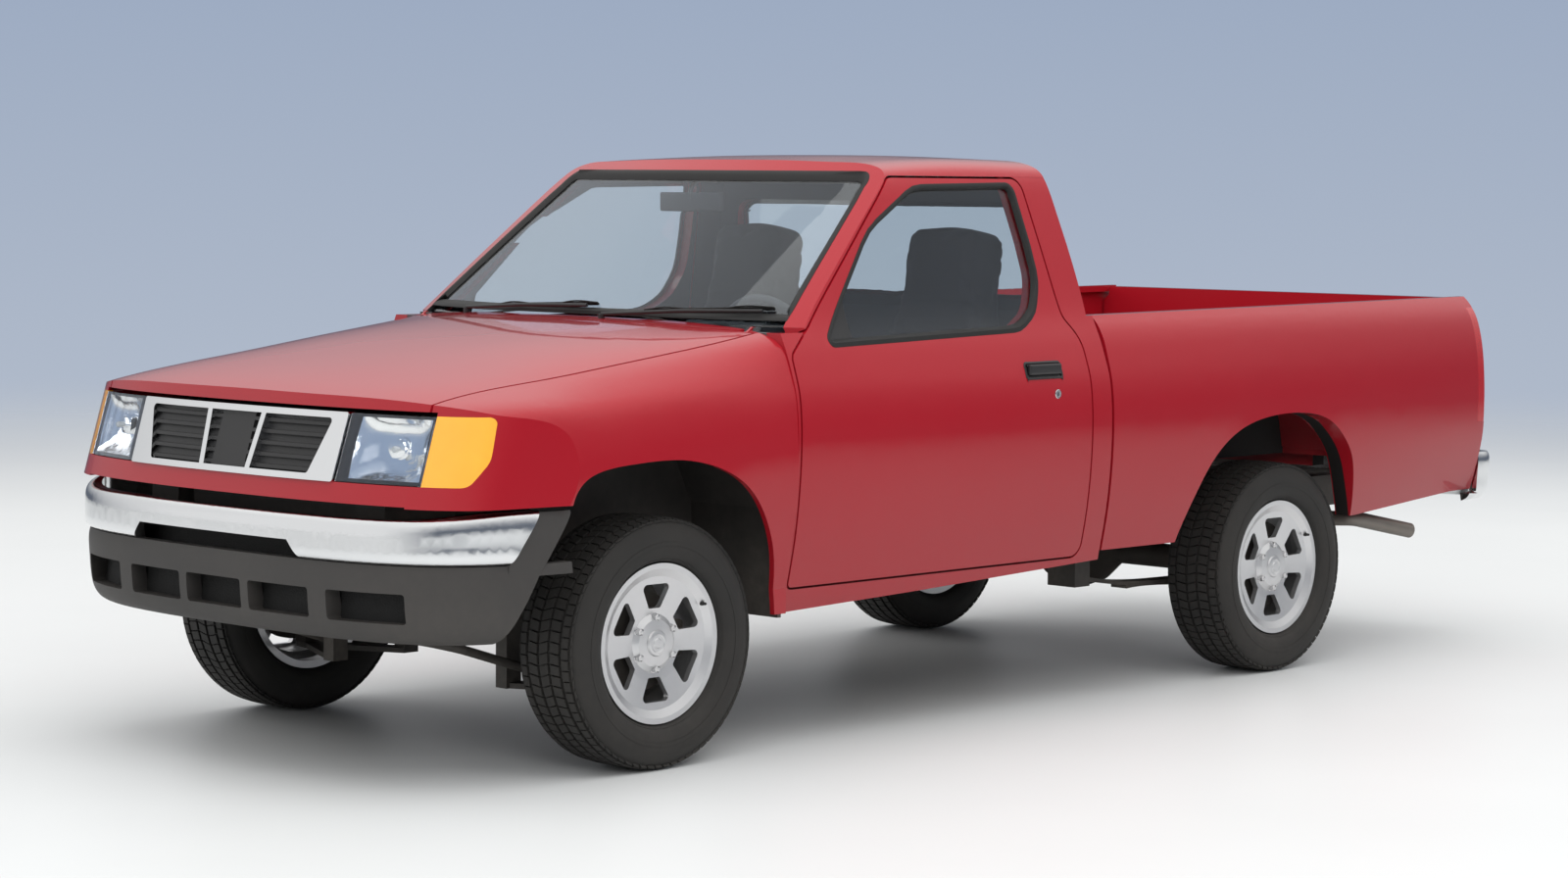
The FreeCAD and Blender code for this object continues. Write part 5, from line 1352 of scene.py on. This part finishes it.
finish(both_sides("rear_shocks", shock("rear_shock", (420, 2700, 268), (400, 2860, 545), 22)), CAST)
clamps = [tube("spring_clamp", [(x, y, z) for y, z in CLAMP], 5.5, 8) for x in (466, 514)]
finish(both_sides("spring_clamps", joined("spring_clamps", clamps)), CAST)
for number, y in enumerate((1800, 2060)):
    finish(tube(f"tank_strap_{number}", [(x, y, z) for x, z in STRAP], 5, 6, False), STEEL)
finish(tube("brake_pipe", BRAKE_PIPE, 3.2, 6), NUT_CHROME)


# Floor, backdrop, lamps and camera

def set_floor():
    # fades into the backdrop far behind the truck
    bpy.ops.mesh.primitive_circle_add(vertices=96, radius=60, fill_type="NGON", location=(0, 0, 0))
    floor = bpy.context.object
    floor.name = "studio_floor"
    mat = bpy.data.materials.new("studio_floor")
    floor.data.materials.append(mat)
    mat.use_nodes = True
    tree = mat.node_tree
    place = object_place(tree)
    tone = blend_colour(tree, noise(tree, place, 0.7, 4), (0.60, 0.61, 0.61), (0.65, 0.66, 0.66))
    fade = shader_node(tree, "MapRange", From_Min=5.0, From_Max=17.0, To_Min=1.0, To_Max=0.0,
                       Value=maths(tree, "LENGTH", place, (0, 0, 0), "VectorMath"))
    fade.interpolation_type = "SMOOTHSTEP"
    fill(tree, tree.nodes["Principled BSDF"], Roughness=0.42, Base_Color=tone, Alpha=fade.outputs["Result"])


def set_backdrop():
    # the camera sees a plain wall, and what mirrors or is lit gets a room that is bright above
    world = bpy.data.worlds.new("studio")
    bpy.context.scene.world = world
    world.use_nodes = True
    sky = world.node_tree
    paths = shader_node(sky, "LightPath").outputs
    direct = maths(sky, "MAXIMUM", paths["Is Camera Ray"], paths["Is Transmission Ray"])
    place = shader_node(sky, "TexCoord").outputs["Generated"]
    height = parts_of(sky, place)["Z"]
    room = blend_colour(sky, span(sky, height, 0.02, 0.62), (0.12, 0.14, 0.18), (1.05, 1.05, 1.04))
    # a light wall ahead and to the right, which the chrome and the lamps mirror
    ahead_right = maths(sky, "DOT_PRODUCT", place, (-0.5, -0.86, 0.08), "VectorMath")
    room = blend_colour(sky, span(sky, ahead_right, 0.45, 0.92), room, (0.92, 0.92, 0.92))
    wall = blend_colour(sky, span(sky, height, -0.22, 0.14), (0.56, 0.60, 0.66), (0.27, 0.35, 0.50))
    fill(sky, sky.nodes["Background"], Color=blend_colour(sky, direct, room, wall), Strength=1.0)


def softbox(name, place, aim, width, height, power):
    # lights the truck and isn't mirrored in it
    lamp = bpy.data.lights.new(name, "AREA")
    lamp.shape = "RECTANGLE"
    lamp.size = width
    lamp.size_y = height
    lamp.energy = power
    obj = bpy.data.objects.new(name, lamp)
    bpy.context.scene.collection.objects.link(obj)
    obj.location = place
    obj.rotation_euler = (Vector(aim) - Vector(place)).to_track_quat("-Z", "Y").to_euler()
    obj.visible_glossy = False


set_floor()
set_backdrop()
softbox("overhead", (1.5, -1.0, 6.5), (0, 0, 0.8), 8.0, 10.0, 430)
softbox("front_left", (7.5, -6.5, 4.2), (0, 0, 0.7), 5.0, 2.6, 210)
softbox("right_fill", (-7.5, -2.0, 4.0), (0, 0, 0.7), 5.0, 3.0, 110)
softbox("rear", (1.0, 8.5, 4.5), (0, 0, 0.8), 6.0, 3.0, 170)

# the camera as solved from the photo: metres, radians and millimetres
CAMERA_PLACE = (7.0284, -7.6320, 1.4799)
FOCAL = 80.09
YAW = 2.3322692
PITCH = -0.0729364
ROLL = 0.0089381
ahead = Vector((math.cos(PITCH) * math.cos(YAW), math.cos(PITCH) * math.sin(YAW), math.sin(PITCH)))
level_right = ahead.cross(Vector((0, 0, 1))).normalized()
level_up = level_right.cross(ahead)
right = level_right * math.cos(ROLL) + level_up * math.sin(ROLL)
up = level_up * math.cos(ROLL) - level_right * math.sin(ROLL)
camera = bpy.data.objects.new("camera", bpy.data.cameras.new("camera"))
bpy.context.scene.collection.objects.link(camera)
camera.data.sensor_width = 36
camera.data.lens = FOCAL
turn = Matrix((right, up, -ahead)).transposed().to_4x4()
camera.matrix_world = Matrix.Translation(CAMERA_PLACE) @ turn
bpy.context.scene.camera = camera
bpy.context.scene.view_settings.view_transform = "Standard"
